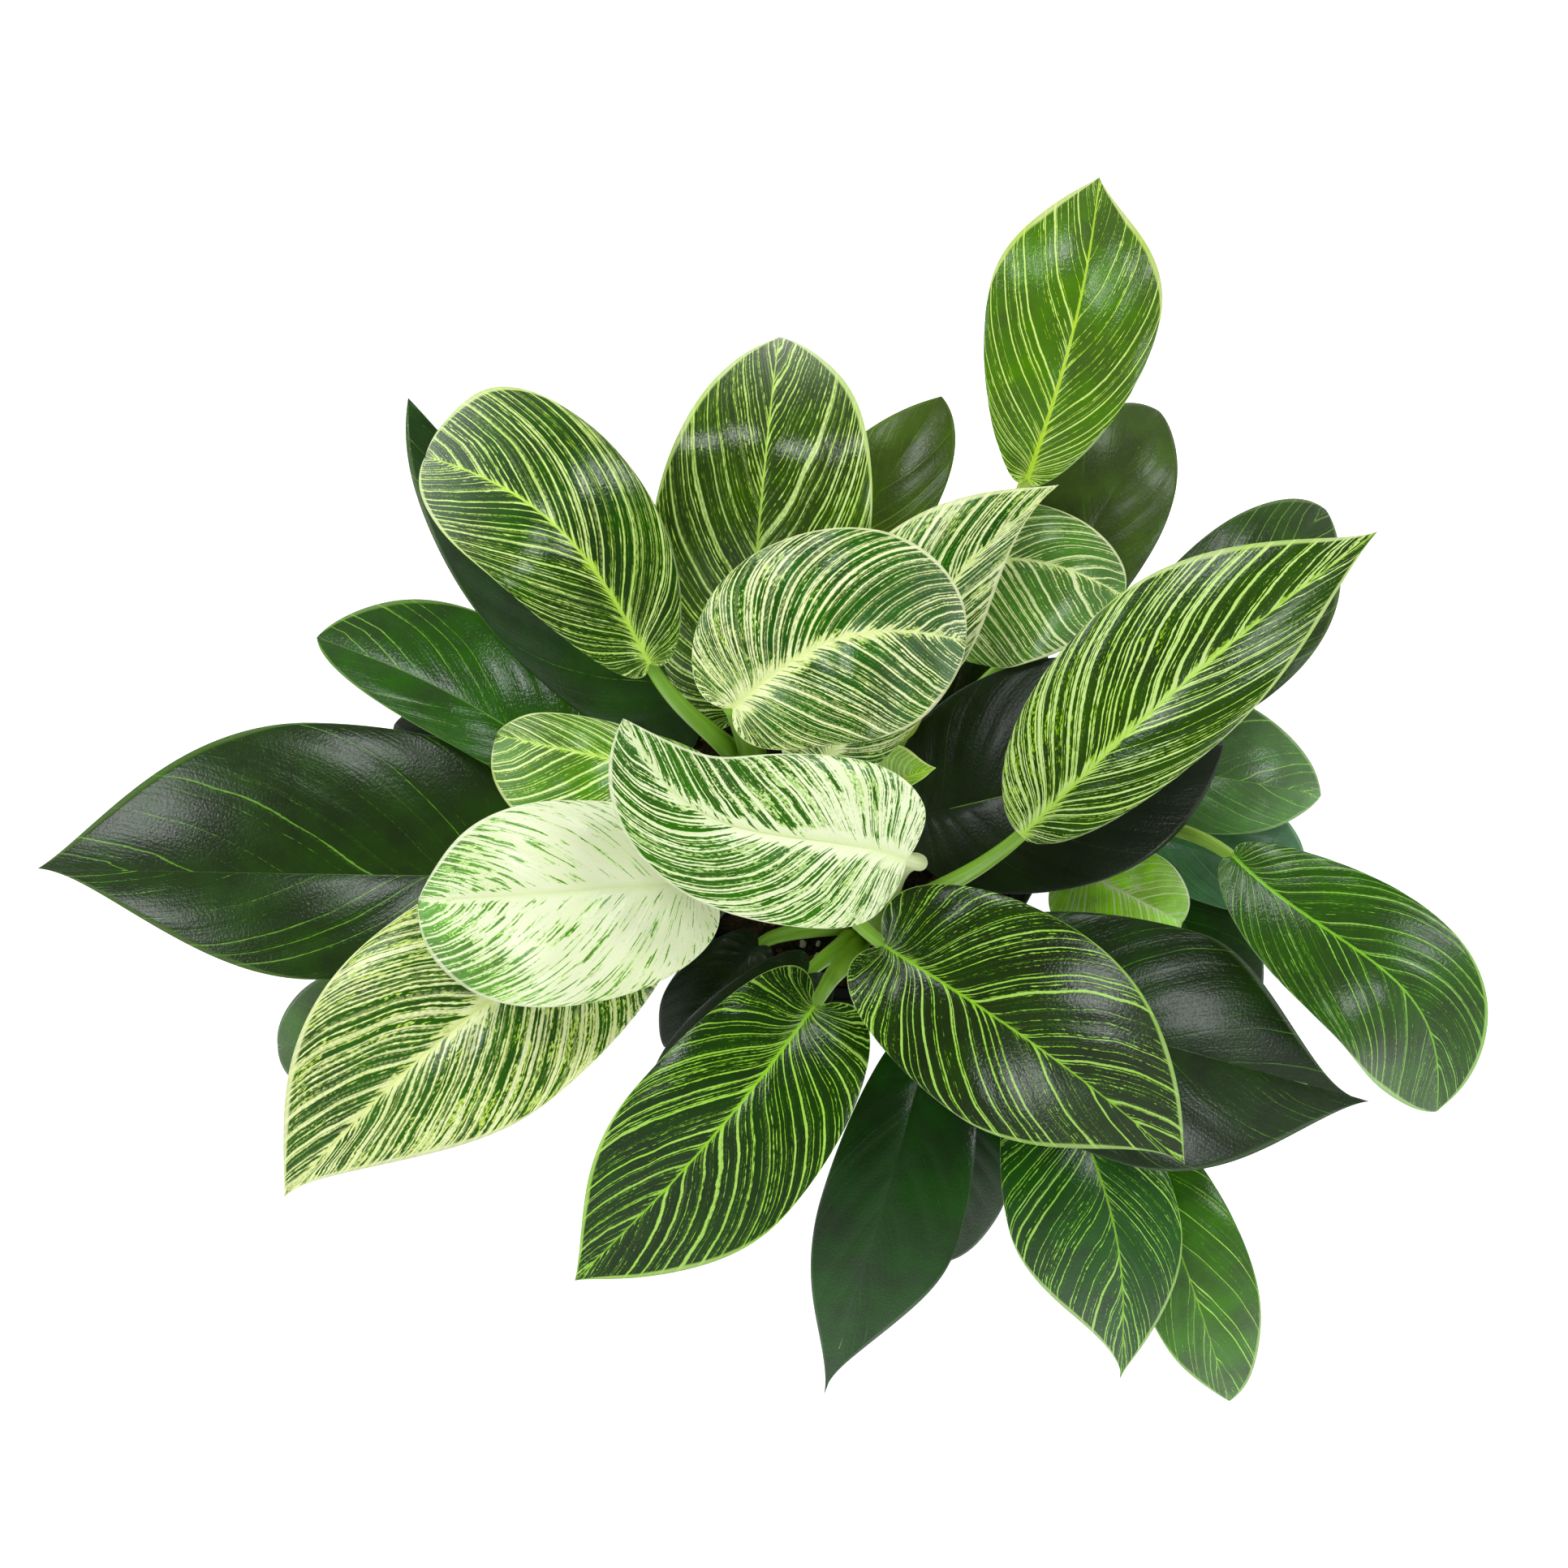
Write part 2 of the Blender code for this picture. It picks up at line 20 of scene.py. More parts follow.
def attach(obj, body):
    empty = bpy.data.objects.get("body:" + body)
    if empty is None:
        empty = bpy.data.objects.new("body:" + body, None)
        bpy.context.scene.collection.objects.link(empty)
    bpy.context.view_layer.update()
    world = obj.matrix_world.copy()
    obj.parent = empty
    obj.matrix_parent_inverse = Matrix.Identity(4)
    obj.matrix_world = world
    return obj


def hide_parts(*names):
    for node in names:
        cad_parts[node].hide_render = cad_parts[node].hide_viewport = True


bl_info = {
    "name": "Potted variegated philodendron",
    "version": (1, 0, 0),
    "blender": (4, 5, 0),
    "location": "3D View > Sidebar > Plant",
    "description": "Makes a potted plant: striped leaves, stems, potting mix, pot and studio",
    "category": "Object",
}

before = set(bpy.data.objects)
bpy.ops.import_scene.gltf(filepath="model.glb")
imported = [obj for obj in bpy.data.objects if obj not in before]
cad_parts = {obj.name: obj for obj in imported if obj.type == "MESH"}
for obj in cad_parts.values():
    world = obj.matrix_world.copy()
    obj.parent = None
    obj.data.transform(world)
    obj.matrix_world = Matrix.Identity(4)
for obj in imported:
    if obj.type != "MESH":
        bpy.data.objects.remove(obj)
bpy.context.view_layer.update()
MM = 0.001

# The eye that the plan places belong to, and its lens
EYE_HEIGHT = 1400.0
EYE_X = -22.0
EYE_Y = 4.0
PLAN_LEVEL = 300.0
EYE_LENS = 81.99
EYE_SENSOR = 36.0

# Pot and mix, as in the CAD model
POT_HEIGHT = 130.0
POT_RIM_RADIUS = 75.0
POT_BASE_RADIUS = 54.0
POT_WALL = 1.6
POT_FLOOR = 2.4
RIM_DEPTH = 12.0
RIM_STEP = 2.2
DRAIN_RING_INNER = 26.0
DRAIN_RING_OUTER = 45.0
DRAIN_RING_RISE = 2.0
DRAIN_HOLES = 8
DRAIN_RADIUS = 5.0
DRAIN_CIRCLE = 35.0
SOIL_TOP = 117.0
SOIL_LUMP = 1.6
FIT_GAP = 0.35

# Stems, as in the CAD model
STEM_RADIUS = 9.5
STEM_TOP_RADIUS = 6.0
STEM_ROOT_DEPTH = 28.0
STEM_RINGS = 11.0
STEM_RIPPLE = 0.05
STEMS = {
    "a": dict(foot=(9.0, -42.0), lean=(3.0, -3.0), height=68.0),
    "b": dict(foot=(-28.0, 2.0), lean=(-2.0, 3.0), height=74.0),
    "c": dict(foot=(6.0, 0.0), lean=(3.0, 2.0), height=66.0),
}

# Petioles: radii at the foot, the middle, the neck under the blade, and where the rib ends.
# The last two are finer than in the CAD model.
PETIOLE_FOOT = 4.4
PETIOLE_MIDDLE = 3.1
PETIOLE_NECK = 2.1
RIB_END = 0.5
PETIOLE_STEPS = 6
RIB_START = 0.04
RIB_REACH = 0.82
RIB_TAPER = 0.45
# How deep the neck and the rib lie in the blade, and how far the curve keeps its way at each end
NECK_BURY = 0.5
RIB_BURY = 0.25
FOOT_PULL = 0.4
NECK_PULL = 0.35
SEAT_ROUNDS = 3
SMOOTHING_ROUNDS = 6
SMOOTHING = 0.25


@dataclass
class Leaf:
    """One leaf's place and shape, as in the CAD model, where only leaf_12's climb is less.

    node is where the petiole starts on its stem, above the mix; base and tip are (u, v, height);
    half, widest and full are for the left and the right half: how wide, where along the blade,
    and how full from there to the tip. rise and dip are the midrib's slopes at base and tip, and
    sway bends it to the left, further on where late is over 1. fold is the slope beside the
    midrib, curl the bend from there to the margin, and roll turns the blade about the midrib.
    lobe and heart shape the notch. leave and climb are the petiole's slopes at stem and blade,
    swing turns its foot round the stem, and seat moves it off the skin.
    """

    name: str
    stem: str
    node: float
    base: tuple
    tip: tuple
    half: tuple
    rise: float = 15.0
    dip: float = -30.0
    sway: float = 0.0
    late: float = 1.0
    fold: float = 14.0
    curl: float = -26.0
    roll: float = 0.0
    lobe: float = 0.10
    heart: float = 1.0
    widest: tuple = (0.45, 0.45)
    full: tuple = (0.6, 0.6)
    climb: float = 55.0
    leave: float = 50.0
    swing: float = 0.0
    seat: float = 0.0


@dataclass
class Look:
    """One leaf's colours, and how much of it is striped: ground is the green between stripes.

    cover is the striped share at the base, in the middle and at the tip, or one number for all
    three; edge adds to it towards the margin, and lean adds to the left half and takes from the
    right. rib is the pale midrib's half width at the base; line is the strength of the pale line
    along the margin; dull takes gloss away. Some leaves' colours hold painted shade and some
    painted light, noted beside them.
    """

    ground: str
    stripe: str
    cover: tuple | float
    edge: float = 0.0
    lean: float = 0.0
    rib: float = 1.6
    line: float = 0.8
    stalk: str = "#84b80c"
    dull: float = 0.0


LEAVES = [
    # Upper leaves, cream and green
    Leaf("leaf_01", "c", 60, (75, 94, 238), (97.2, 187, 250), (29.5, 26.5), rise=35, sway=-2.5,
        lobe=0.08, heart=0.3, widest=(0.57, 0.58), full=(0.35, 0.15), leave=70),
    Leaf("leaf_02", "b", 48, (-12.8, 21.5, 190), (-1.5, 137.8, 208), (35, 36.5), rise=35, dip=-62,
        widest=(0.45, 0.5), full=(0.2, 0.5), seat=0.3),
    Leaf("leaf_03", "b", 58, (-41.5, 37, 250), (-110.5, 101, 218), (26, 32.5), rise=28, dip=-62,
        sway=-12, lobe=0.07, heart=0.6, widest=(0.45, 0.6), full=(0.8, 0.8), leave=65, seat=0.1),
    Leaf("leaf_08", "b", 66, (-25.2, -29.8, 280), (-112.8, -36, 248), (36, 29), dip=-52,
        full=(0.9, 0.35), seat=-0.2),
    Leaf("leaf_09", "b", 42, (-50.2, -37.2, 238), (-154, -127.2, 196), (38, 40.5), sway=-5,
        widest=(0.36, 0.45), full=(-0.1, 0.3), lobe=0.14, seat=-0.5),
    Leaf("leaf_10", "a", 64, (37.8, -23.5, 312), (-49.5, 20.2, 330), (27, 26.5), rise=8, dip=25,
        sway=15, late=1.5, widest=(0.32, 0.22), full=(0.7, 0.4), lobe=0.02, heart=1.3, climb=72,
        leave=65, seat=-0.5),
    Leaf("leaf_11", "b", 56, (-24, 1.5, 232), (-88.5, 15.2, 205), (28, 12), rise=20, dip=-60,
        full=(0.9, 0.7)),
    Leaf("leaf_12", "b", 72, (-15.8, 23.2, 296), (56, 44, 270), (34.5, 33), rise=32, dip=-62,
        sway=11, heart=0.75, widest=(0.34, 0.45), full=(0.6, 0.75), climb=84),
    Leaf("leaf_13", "b", 60, (11, 5.2, 228), (84.8, 92.2, 250), (29, 19), rise=25, dip=5, sway=6,
        late=1.4, full=(0.3, -0.25)),
    Leaf("leaf_16", "a", 60, (73, -16, 262), (183, 77.8, 258), (35, 21.5), rise=18, dip=-18, sway=4,
        widest=(0.45, 0.44), full=(0.12, 0.1), lobe=0, heart=0.85, leave=65),
    Leaf("leaf_25", "b", 64, (31, -49.8, 262), (123.5, -117.2, 218), (38, 33), dip=-35, sway=3,
        full=(0.25, -0.2), widest=(0.38, 0.38), seat=-0.7),
    Leaf("leaf_26", "a", 52, (9.2, -68.5, 240), (-64.5, -153, 192), (35, 30), sway=2.5,
        full=(0.25, 0.25), lobe=0.12, heart=1.1, widest=(0.43, 0.45), seat=-0.5),
    # Middle leaves
    Leaf("leaf_05", "b", 28, (-60, 0, 170), (-144, 45.2, 149), (15.5, 30.5), dip=-25, sway=-5,
        roll=5, full=(0.8, 0.65)),
    Leaf("leaf_14", "c", 50, (36, 62.8, 195), (104.8, 57.8, 190), (20, 37), rise=12, dip=-50,
        sway=9, full=(0.85, 0.85), widest=(0.4, 0.4), fold=5, swing=15, seat=-0.2),
    Leaf("leaf_19", "c", 50, (41.8, -9.8, 199), (135.5, 12.8, 192), (43, 36), rise=10, dip=-22,
        fold=6, roll=-4),
    Leaf("leaf_21", "c", 64, (28.5, -1, 208), (46.8, 5, 228), (16.5, 4.5), rise=40, dip=20, fold=30,
        curl=20, widest=(0.78, 0.5), full=(0.1, 0.3), swing=-25, seat=-0.2),
    Leaf("leaf_22", "a", 36, (88, -25, 176), (122.8, -42.8, 156), (17, 24), dip=-50,
        widest=(0.45, 0.3), full=(0.9, 0.9)),
    Leaf("leaf_23", "c", 40, (138.5, -22.2, 205), (201, -101, 158), (25.5, 28), dip=-55, sway=15,
        late=1.6, lobe=0.05, heart=0.7, widest=(0.5, 0.55), full=(0.35, 0.8)),
    Leaf("leaf_24", "a", 44, (56, -62.2, 198), (180.5, -97.8, 152), (40, 43), rise=12,
        full=(-0.4, 0.05), seat=0.1),
    Leaf("leaf_29", "a", 32, (86, -93.5, 186), (103.5, -183.5, 118), (23, 35.5), rise=10, dip=-48,
        sway=7, full=(0, -0.3), widest=(0.4, 0.33), seat=0.2),
    Leaf("leaf_30", "a", 16, (108.5, -108.5, 160), (137.2, -190.2, 98), (22.5, 18), rise=10,
        dip=-48, full=(0.65, 0.35), heart=0.8),
    # Lower, older leaves, dark green of their own; some of them also hold painted shade
    Leaf("leaf_04", "b", 34, (-26, 19, 177), (-115.8, 119, 200), (35, 18), rise=20, dip=5, roll=-25,
        full=(0.6, -0.7)),
    Leaf("leaf_06", "b", 18, (-69, -28.5, 152), (-230, -26, 134), (37, 53), dip=-22,
        widest=(0.45, 0.46), full=(-0.1, 0.2), seat=-0.3),
    Leaf("leaf_07", "c", 40, (4.8, 51.5, 177), (48.5, 119.5, 188), (20, 20), rise=20, dip=-10,
        widest=(0.45, 0.5), full=(0.45, 0.9)),
    Leaf("leaf_15", "c", 42, (76, 46.5, 176), (115.5, 115, 183), (27, 21.5), rise=22,
        widest=(0.45, 0.5), full=(0.95, 0.7)),
    Leaf("leaf_17", "c", 32, (108.5, 26.5, 176), (167, 84.5, 168), (24, 32), dip=-35,
        full=(0.8, 0.6), leave=60, seat=-0.3),
    Leaf("leaf_18", "c", 20, (92.2, 9, 150), (165.5, -3.5, 140), (30, 20.5), rise=12, dip=-45,
        widest=(0.35, 0.45), full=(0.45, 0.5)),
    Leaf("leaf_20", "c", 22, (36, 14, 147), (81, 41.5, 156), (22, 22), rise=20, dip=-20),
    Leaf("leaf_27", "a", 20, (43.5, -83.5, 190), (12.2, -188.5, 122), (28, 21.5), rise=10, dip=-42,
        widest=(0.42, 0.4), full=(-0.35, -0.1)),
    Leaf("leaf_28", "a", 7, (51, -91, 152), (49, -147.5, 112), (22, 18), rise=10, dip=-40,
        full=(0.6, 0.6), seat=-0.1),
    Leaf("leaf_31", "b", 26, (-77.8, -79.8, 156), (-156, -81, 120), (22, 30), rise=8, dip=-45,
        full=(0.9, 0.9), swing=38, seat=0.2),
    Leaf("leaf_32", "c", 8, (102.2, -12.2, 150), (159.2, -31, 136), (24, 17), rise=10,
        widest=(0.55, 0.55), full=(0.95, 0.95), leave=60, climb=40),
    Leaf("leaf_33", "a", 8, (114.8, -28.5, 141), (141, -76, 122), (21, 20), rise=10,
        full=(0.7, 0.7), leave=60, climb=40, seat=-0.2),
    Leaf("leaf_34", "a", 40, (7.2, -58.5, 182), (-42, -106.5, 145), (20, 18), rise=10, dip=-35,
        lobe=0.12, seat=-0.5),
    Leaf("leaf_35", "a", 10, (-7.8, -49.8, 142), (-37, -81, 126), (12, 15), rise=10, dip=-35),
    Leaf("leaf_36", "b", 6, (-57.8, -8.5, 146), (-120.2, 18.2, 130), (20, 20), rise=10,
        full=(0.8, 0.8), leave=60, climb=40, seat=-0.2),
]

LOOKS = {
    "leaf_01": Look("#4a7a06", "#e0f294", (0.4, 0.2, 0.18), edge=0.14, rib=1.8, stalk="#a9c43a"),
    "leaf_02": Look("#32500f", "#e2f6a2", (0.44, 0.34, 0.3), edge=0.12, rib=1.4),
    "leaf_03": Look("#1f4c04", "#e8fba4", (0.46, 0.37, 0.29), edge=0.1, rib=1.5),
    "leaf_04": Look("#27481a", "#7b9c4c", -0.25, rib=0.5, line=0.2),
    "leaf_05": Look("#2a5c0a", "#98c452", (-0.14, -0.16, -0.14), edge=0.12, rib=0.8, line=0.4),
    "leaf_06": Look("#233e0e", "#7fa846", (-0.14, -0.1, -0.1), edge=0.07, rib=0.05, line=0.3,
        dull=0.3),
    "leaf_07": Look("#4e6620", "#86a24a", 0.0, rib=0.5, line=0.3, dull=0.3),
    "leaf_08": Look("#4f960c", "#f3f8d0", (1.18, 1.02, 0.56), edge=-0.16, lean=-0.04, rib=1.3),
    "leaf_09": Look("#285e04", "#fbffc4", (0.62, 0.57, 0.49), edge=0.14, rib=1.6),
    "leaf_10": Look("#2f6c06", "#f6fcd2", (0.8, 0.62, 0.5), edge=0.03, rib=1.8, stalk="#d3dfa0"),
    "leaf_11": Look("#4c8400", "#eefcb0", (0.46, 0.42, 0.36), edge=0.05, rib=1.0),
    "leaf_12": Look("#1f6002", "#fcffca", (0.61, 0.47, 0.41), edge=0.12, rib=2.2),
    "leaf_13": Look("#1f5a04", "#faffc8", (0.6, 0.52, 0.48), edge=0.16, rib=1.5),
    # painted light: leaf_14's ground and stripe are lighter than its own, to make up for the shade
    # of the leaves above it
    "leaf_14": Look("#4f8030", "#fbffcc", (0.5, 0.42, 0.36), edge=0.02, lean=-0.04, rib=1.6),
    "leaf_15": Look("#46601e", "#6b8638", -0.2, rib=0.5, line=0.1, dull=0.5),
    "leaf_16": Look("#284c04", "#d8ee9c", (0.54, 0.44, 0.34), edge=0.06, lean=0.06, rib=1.2),
    "leaf_17": Look("#324c1c", "#7d9b50", 0.0, rib=0.5, line=0.3, dull=0.3),
    "leaf_18": Look("#628e50", "#c4e690", 0.05, rib=0.6, line=0.3, dull=0.1),
    # painted shade: leaf_19's ground and stripe are nearly black green for the shade it lies in
    # under the leaves above
    "leaf_19": Look("#15240a", "#2f4a1c", -0.2, rib=0.3, line=0.2, dull=0.5),
    # painted shade: leaf_20's ground and stripe are nearly black green for the shade it lies in
    # under the leaves above
    "leaf_20": Look("#18260a", "#3c5a20", -0.2, rib=0.3, line=0.2, dull=0.4),
    "leaf_21": Look("#8cc414", "#f4ffa8", (0.36, 0.38, 0.34), rib=1.6, line=1.0),
    # painted light: leaf_22's ground and stripe are far lighter than its own, to make up for the
    # shade that leaf_16 and leaf_24 cast on it
    "leaf_22": Look("#a4f000", "#ffffe0", (0.42, 0.34, 0.3), edge=0.05, rib=1.3),
    "leaf_23": Look("#305a14", "#b0de74", (0.17, 0.13, 0.13), edge=0.14, rib=1.4, line=0.8,
        stalk="#8ab324"),
    "leaf_24": Look("#183204", "#527c22", (-0.25, -0.2, -0.12), edge=0.2, rib=0.3, line=0.2,
        dull=0.3),
    "leaf_25": Look("#1f360a", "#b4dc6c", (0.34, 0.26, 0.23), edge=0.08, rib=1.2, line=0.7),
    "leaf_26": Look("#1a3e02", "#bae46a", (0.38, 0.32, 0.28), edge=0.08, rib=1.3, line=0.8),
    "leaf_27": Look("#174804", "#3f6a28", -0.2, edge=0.1, rib=0.3, line=0.3, dull=0.3),
    "leaf_28": Look("#1a4602", "#3c6124", -0.2, rib=0.3, line=0.2, dull=0.3),
    "leaf_29": Look("#1a5204", "#bce678", (0.28, 0.24, 0.22), edge=0.08, rib=1.1, line=0.7),
    "leaf_30": Look("#3a7408", "#c4f070", (0.12, 0.1, 0.1), edge=0.05, rib=0.9, line=0.5),
    # painted shade: leaf_31's petiole is dark green for the shade it lies in
    "leaf_31": Look("#3c6420", "#4d6c30", -0.2, rib=0.3, line=0.2, stalk="#2f451b", dull=0.3),
    "leaf_32": Look("#54805c", "#86b07c", -0.05, edge=0.05, rib=0.3, line=0.3, dull=0.2),
    "leaf_33": Look("#203e14", "#456a30", -0.1, rib=0.3, line=0.2, dull=0.3),
    "leaf_34": Look("#1a2e10", "#36521f", -0.2, rib=0.3, line=0.2, dull=0.4),
    # painted shade: leaf_35 and leaf_36 are nearly black green for the shade they lie in, low under
    # the other leaves
    "leaf_35": Look("#18280c", "#304a1a", -0.2, rib=0.3, line=0.2, dull=0.4),
    "leaf_36": Look("#1c2e10", "#2f471a", -0.2, rib=0.3, line=0.2, dull=0.4),
}

# Lines in half a blade, least and greatest height, sideways fall, breaks to the margin, depth
STRIPE_FAMILIES = (
    (23, 0.66, 1.14, 4.6, 2.0, 0.35),
    (44, 0.42, 0.92, 3.4, 5.0, 0.60),
    (92, 0.28, 0.80, 1.1, 12.0, 0.85),
)


# ---- small helpers


def linear(text):
    """A hex colour, as sRGB, to linear red, green and blue."""
    values = [int(text[i : i + 2], 16) / 255 for i in (1, 3, 5)]
    return tuple(v / 12.92 if v <= 0.04045 else ((v + 0.055) / 1.055) ** 2.4 for v in values)


def add(tree, kind, *values, **more):
    """Adds a node with its settings and links, or sets one that is there, given as the kind.

    A shader node's kind goes without "ShaderNode". Plain values fill the live sockets in order.
    A name with a capital is a socket's, with _ for a space, and one without is a setting's. A
    value is a number, a hex colour, an output, or a node, which stands for its first output.
    """
    made = kind
    if isinstance(kind, str):
        made = tree.nodes.new(kind if "Node" in kind else "ShaderNode" + kind)
    for key in more:
        if key[0].islower():
            setattr(made, key, more[key])
    pairs = list(zip([socket for socket in made.inputs if socket.enabled], values))
    pairs += [(made.inputs[key.replace("_", " ")], more[key]) for key in more if key[0].isupper()]
    for socket, value in pairs:
        if isinstance(value, str) and value.startswith("#"):
            value = (*linear(value), 1.0)
        if isinstance(value, bpy.types.Node):
            value = next(output for output in value.outputs if output.enabled)
        if isinstance(value, bpy.types.NodeSocket):
            tree.links.new(value, socket)
        else:
            socket.default_value = value
    return made


def new_material(name):
    """A node material: (material, what adds nodes to it, its Principled shader)."""
    made = bpy.data.materials.new(name)
    made.use_nodes = True
    return made, partial(add, made.node_tree), made.node_tree.nodes["Principled BSDF"]


def surface(node, shader, colour, height, strength, depth, **sockets):
    """Gives the shader its colour, a bump of this height, and more; depth is in metres."""
    bump = node("Bump", Height=height, Strength=strength, Distance=depth)
    node(shader, Base_Color=colour, Normal=bump, **sockets)


def placed(name, data):
    """A new object in the scene, of a mesh, curve, lamp or camera."""
    made = bpy.data.objects.new(name, data)
    bpy.context.scene.collection.objects.link(made)
    return made


def spoke(i, count, out=1.0):
    """The x and y of one of the even steps round a circle."""
    way = 2 * math.pi * i / count
    return out * math.cos(way), out * math.sin(way)


def mesh_object(name, points, faces, *materials, edges=()):
    mesh = bpy.data.meshes.new(name)
    mesh.from_pydata(points, edges, faces, shade_flat=False)
    for item in materials:
        mesh.materials.append(item)
    return placed(name, mesh)


def tube_faces(rings, sides, inward=False):
    """Quads between rings of points laid one after another, and a cap on the first and the last."""
    way = -1 if inward else 1
    faces = []
    for j, i in product(range(rings - 1), range(sides)):
        here, k = j * sides, (i + 1) % sides
        faces.append((here + i, *(here + k, here + sides + k, here + sides + i)[::way]))
    first, last = range(sides), range((rings - 1) * sides, rings * sides)
    return [*faces, tuple(first)[::-way], tuple(last)[::way]]


def grid_quads(number):
    """Quads between the points of a numbered grid."""
    corners = [number[:-1, :-1], number[:-1, 1:], number[1:, 1:], number[1:, :-1]]
    return np.stack(corners, -1).reshape(-1, 4)


def evaluated(made):
    """The plain mesh that an object's modifiers make."""
    graph = bpy.context.evaluated_depsgraph_get()
    return bpy.data.meshes.new_from_object(made.evaluated_get(graph))


def applied(made):
    """The object with its modifiers made into a plain mesh."""
    old, mesh = made.data, evaluated(made)
    made.modifiers.clear()
    made.data = mesh
    mesh.name = made.name
    bpy.data.meshes.remove(old)
    return made


def put(made, slot, *nodes):
    """The finished piece rides on the one body and stands for its CAD nodes; slot is not used."""
    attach(made, "root")
    if nodes:
        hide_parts(*nodes)
    return made


def shape_tree(name, *sockets):
    """A Geometry Nodes tree with named inputs: (tree, what adds nodes to it, input node)."""
    tree = bpy.data.node_groups.new(name, "GeometryNodeTree")
    tree.interface.new_socket("Geometry", in_out="INPUT", socket_type="NodeSocketGeometry")
    for label, kind, value in sockets:
        made = tree.interface.new_socket(label, in_out="INPUT", socket_type=f"NodeSocket{kind}")
        made.default_value = value
    tree.interface.new_socket("Geometry", in_out="OUTPUT", socket_type="NodeSocketGeometry")
    return tree, partial(add, tree), tree.nodes.new("NodeGroupInput")


def end_tree(node, geometry, finish):
    """Ends a tree in Realize Instances and Set Material."""
    real = node("GeometryNodeRealizeInstances", geometry)
    node("NodeGroupOutput", node("GeometryNodeSetMaterial", real, Material=finish))


def give_tree(made, tree, **values):
    """Puts the tree on the object, with these named inputs."""
    step = made.modifiers.new(tree.name, "NODES")
    step.node_group = tree
    for item in tree.interface.items_tree:
        if item.in_out == "INPUT" and item.name in values:
            step[item.identifier] = values[item.name]


def curve_mesh(name, line, radii, tree, **values):
    """The mesh that a tree makes along a line of points in millimetres."""
    data = bpy.data.curves.new(name, "CURVE")
    data.dimensions = "3D"
    spline = data.splines.new("POLY")
    spline.points.add(len(line) - 1)
    for point, where, radius in zip(spline.points, line, radii):
        point.co = (*(where * MM), 1.0)
        point.radius = radius
    made = placed(name, data)
    give_tree(made, tree, **values)
    mesh = evaluated(made)
    bpy.data.objects.remove(made)
    return mesh


# ---- leaves

# The step at which an outline is widest, and how the grid's columns crowd across a blade
OUTLINE_TURN = 0.45
COLUMN_CROWDING = 1.35
COLUMN_EASE = 1.6
# Side veins: their swing towards the tip, how far they run ahead beside the midrib, their waver
VEIN_SWING = 0.3
VEIN_LEAD = 0.03
LEAD_FROM = 0.3
LEAD_WIDTH = 0.06
VEIN_WAVER = 0.05
# Waves of the margin, the groove's half width in millimetres, and what the blade thins by
RIPPLES = 2.3
GROOVE_WIDTH = 1.3
EDGE_THINNING = 0.75
# Points closer than this are one, and shorter edges than this go, in metres
MERGE = 0.000002
SLIVER = 0.0000005
# Between one leaf's seed and the next one's
SEED_STEP = 3.7


def plan_point(place):
    """The point in millimetres of a plan place (u, v, height)."""
    u, v, z = place
    spread = (EYE_HEIGHT - z) / (EYE_HEIGHT - PLAN_LEVEL)
    return np.array([EYE_X + u * spread, EYE_Y + v * spread, z])


def bezier(points, t):
    """Points on the Bezier curve with four control points, for an array of t."""
    a, b, c, d = [np.asarray(p, float) for p in points]
    t = np.asarray(t, float)[..., None]
    s = 1.0 - t
    return a * s**3 + b * (3 * s * s * t) + c * (3 * s * t * t) + d * t**3


def unit(v):
    return v / np.maximum(np.linalg.norm(v, axis=-1, keepdims=True), 1e-12)


class Midrib:
    """The centre line of a blade, read by its share of length, for arrays of shares."""

    STATIONS = 80

    def __init__(self, leaf):
        base, tip = plan_point(leaf.base), plan_point(leaf.tip)
        run = (tip - base)[:2]
        reach = np.linalg.norm(run)
        left = np.array([-run[1], run[0], 0.0]) / reach
        rise, dip = [reach * math.tan(math.radians(slope)) for slope in (leaf.rise, leaf.dip)]
        s = np.linspace(0.0, 1.0, self.STATIONS + 1)
        sway = leaf.sway * np.sin(np.pi * s**leaf.late)
        points = base + (tip - base) * s[:, None] + left * sway[:, None]
        points[:, 2] = base[2] + (tip[2] - base[2]) * s * s * (3 - 2 * s)
        points[:, 2] += s * (1 - s) ** 2 * rise + s * s * (s - 1) * dip
        steps = np.linalg.norm(np.diff(points, axis=0), axis=1)
        self.points = points
        self.length = steps.sum()
        self.shares = np.concatenate([[0.0], np.cumsum(steps)]) / self.length
        self.tangents = unit(np.gradient(points, self.shares, axis=0))
        self.roll = math.radians(leaf.roll)

    def at(self, share):
        """Points, tangents, left and normal vectors; below 0 the line runs straight on back."""
        share = np.asarray(share, float)
        wanted = np.clip(share, 0.0, 1.0)
        point, tangent = [
            np.stack([np.interp(wanted, self.shares, values[:, i]) for i in range(3)], -1)
            for values in (self.points, self.tangents)
        ]
        tangent = unit(tangent)
        point = point + tangent * (np.minimum(share, 0.0) * self.length)[..., None]
        flat = unit(np.stack([-tangent[..., 1], tangent[..., 0], np.zeros_like(share)], -1))
        left = flat * math.cos(self.roll) + np.cross(tangent, flat) * math.sin(self.roll)
        return point, tangent, left, unit(np.cross(tangent, left))


def outline(leaf, t, half):
    """The margin of one half blade: shares of length and of half width, for an array of t."""
    wide, full, heart = leaf.widest[half], leaf.full[half], leaf.heart
    shoulder = wide + (1 - wide) * (0.42 + 0.2 * full)
    lobe = (-leaf.lobe * 1.5, 0.5 * heart)
    near = [(0, 0), lobe, (wide * (0.75 - 0.45 * heart), 1.0), (wide, 1.0)]
    far = [(wide, 1.0), (shoulder, 1.0), (0.86 + 0.11 * full, 0.1 + 0.5 * full), (1.0, 0.0)]
    first = bezier(near, np.minimum(t / OUTLINE_TURN, 1.0))
    second = bezier(far, np.maximum((t - OUTLINE_TURN) / (1 - OUTLINE_TURN), 0.0))
    return np.where((t < OUTLINE_TURN)[:, None], first, second)


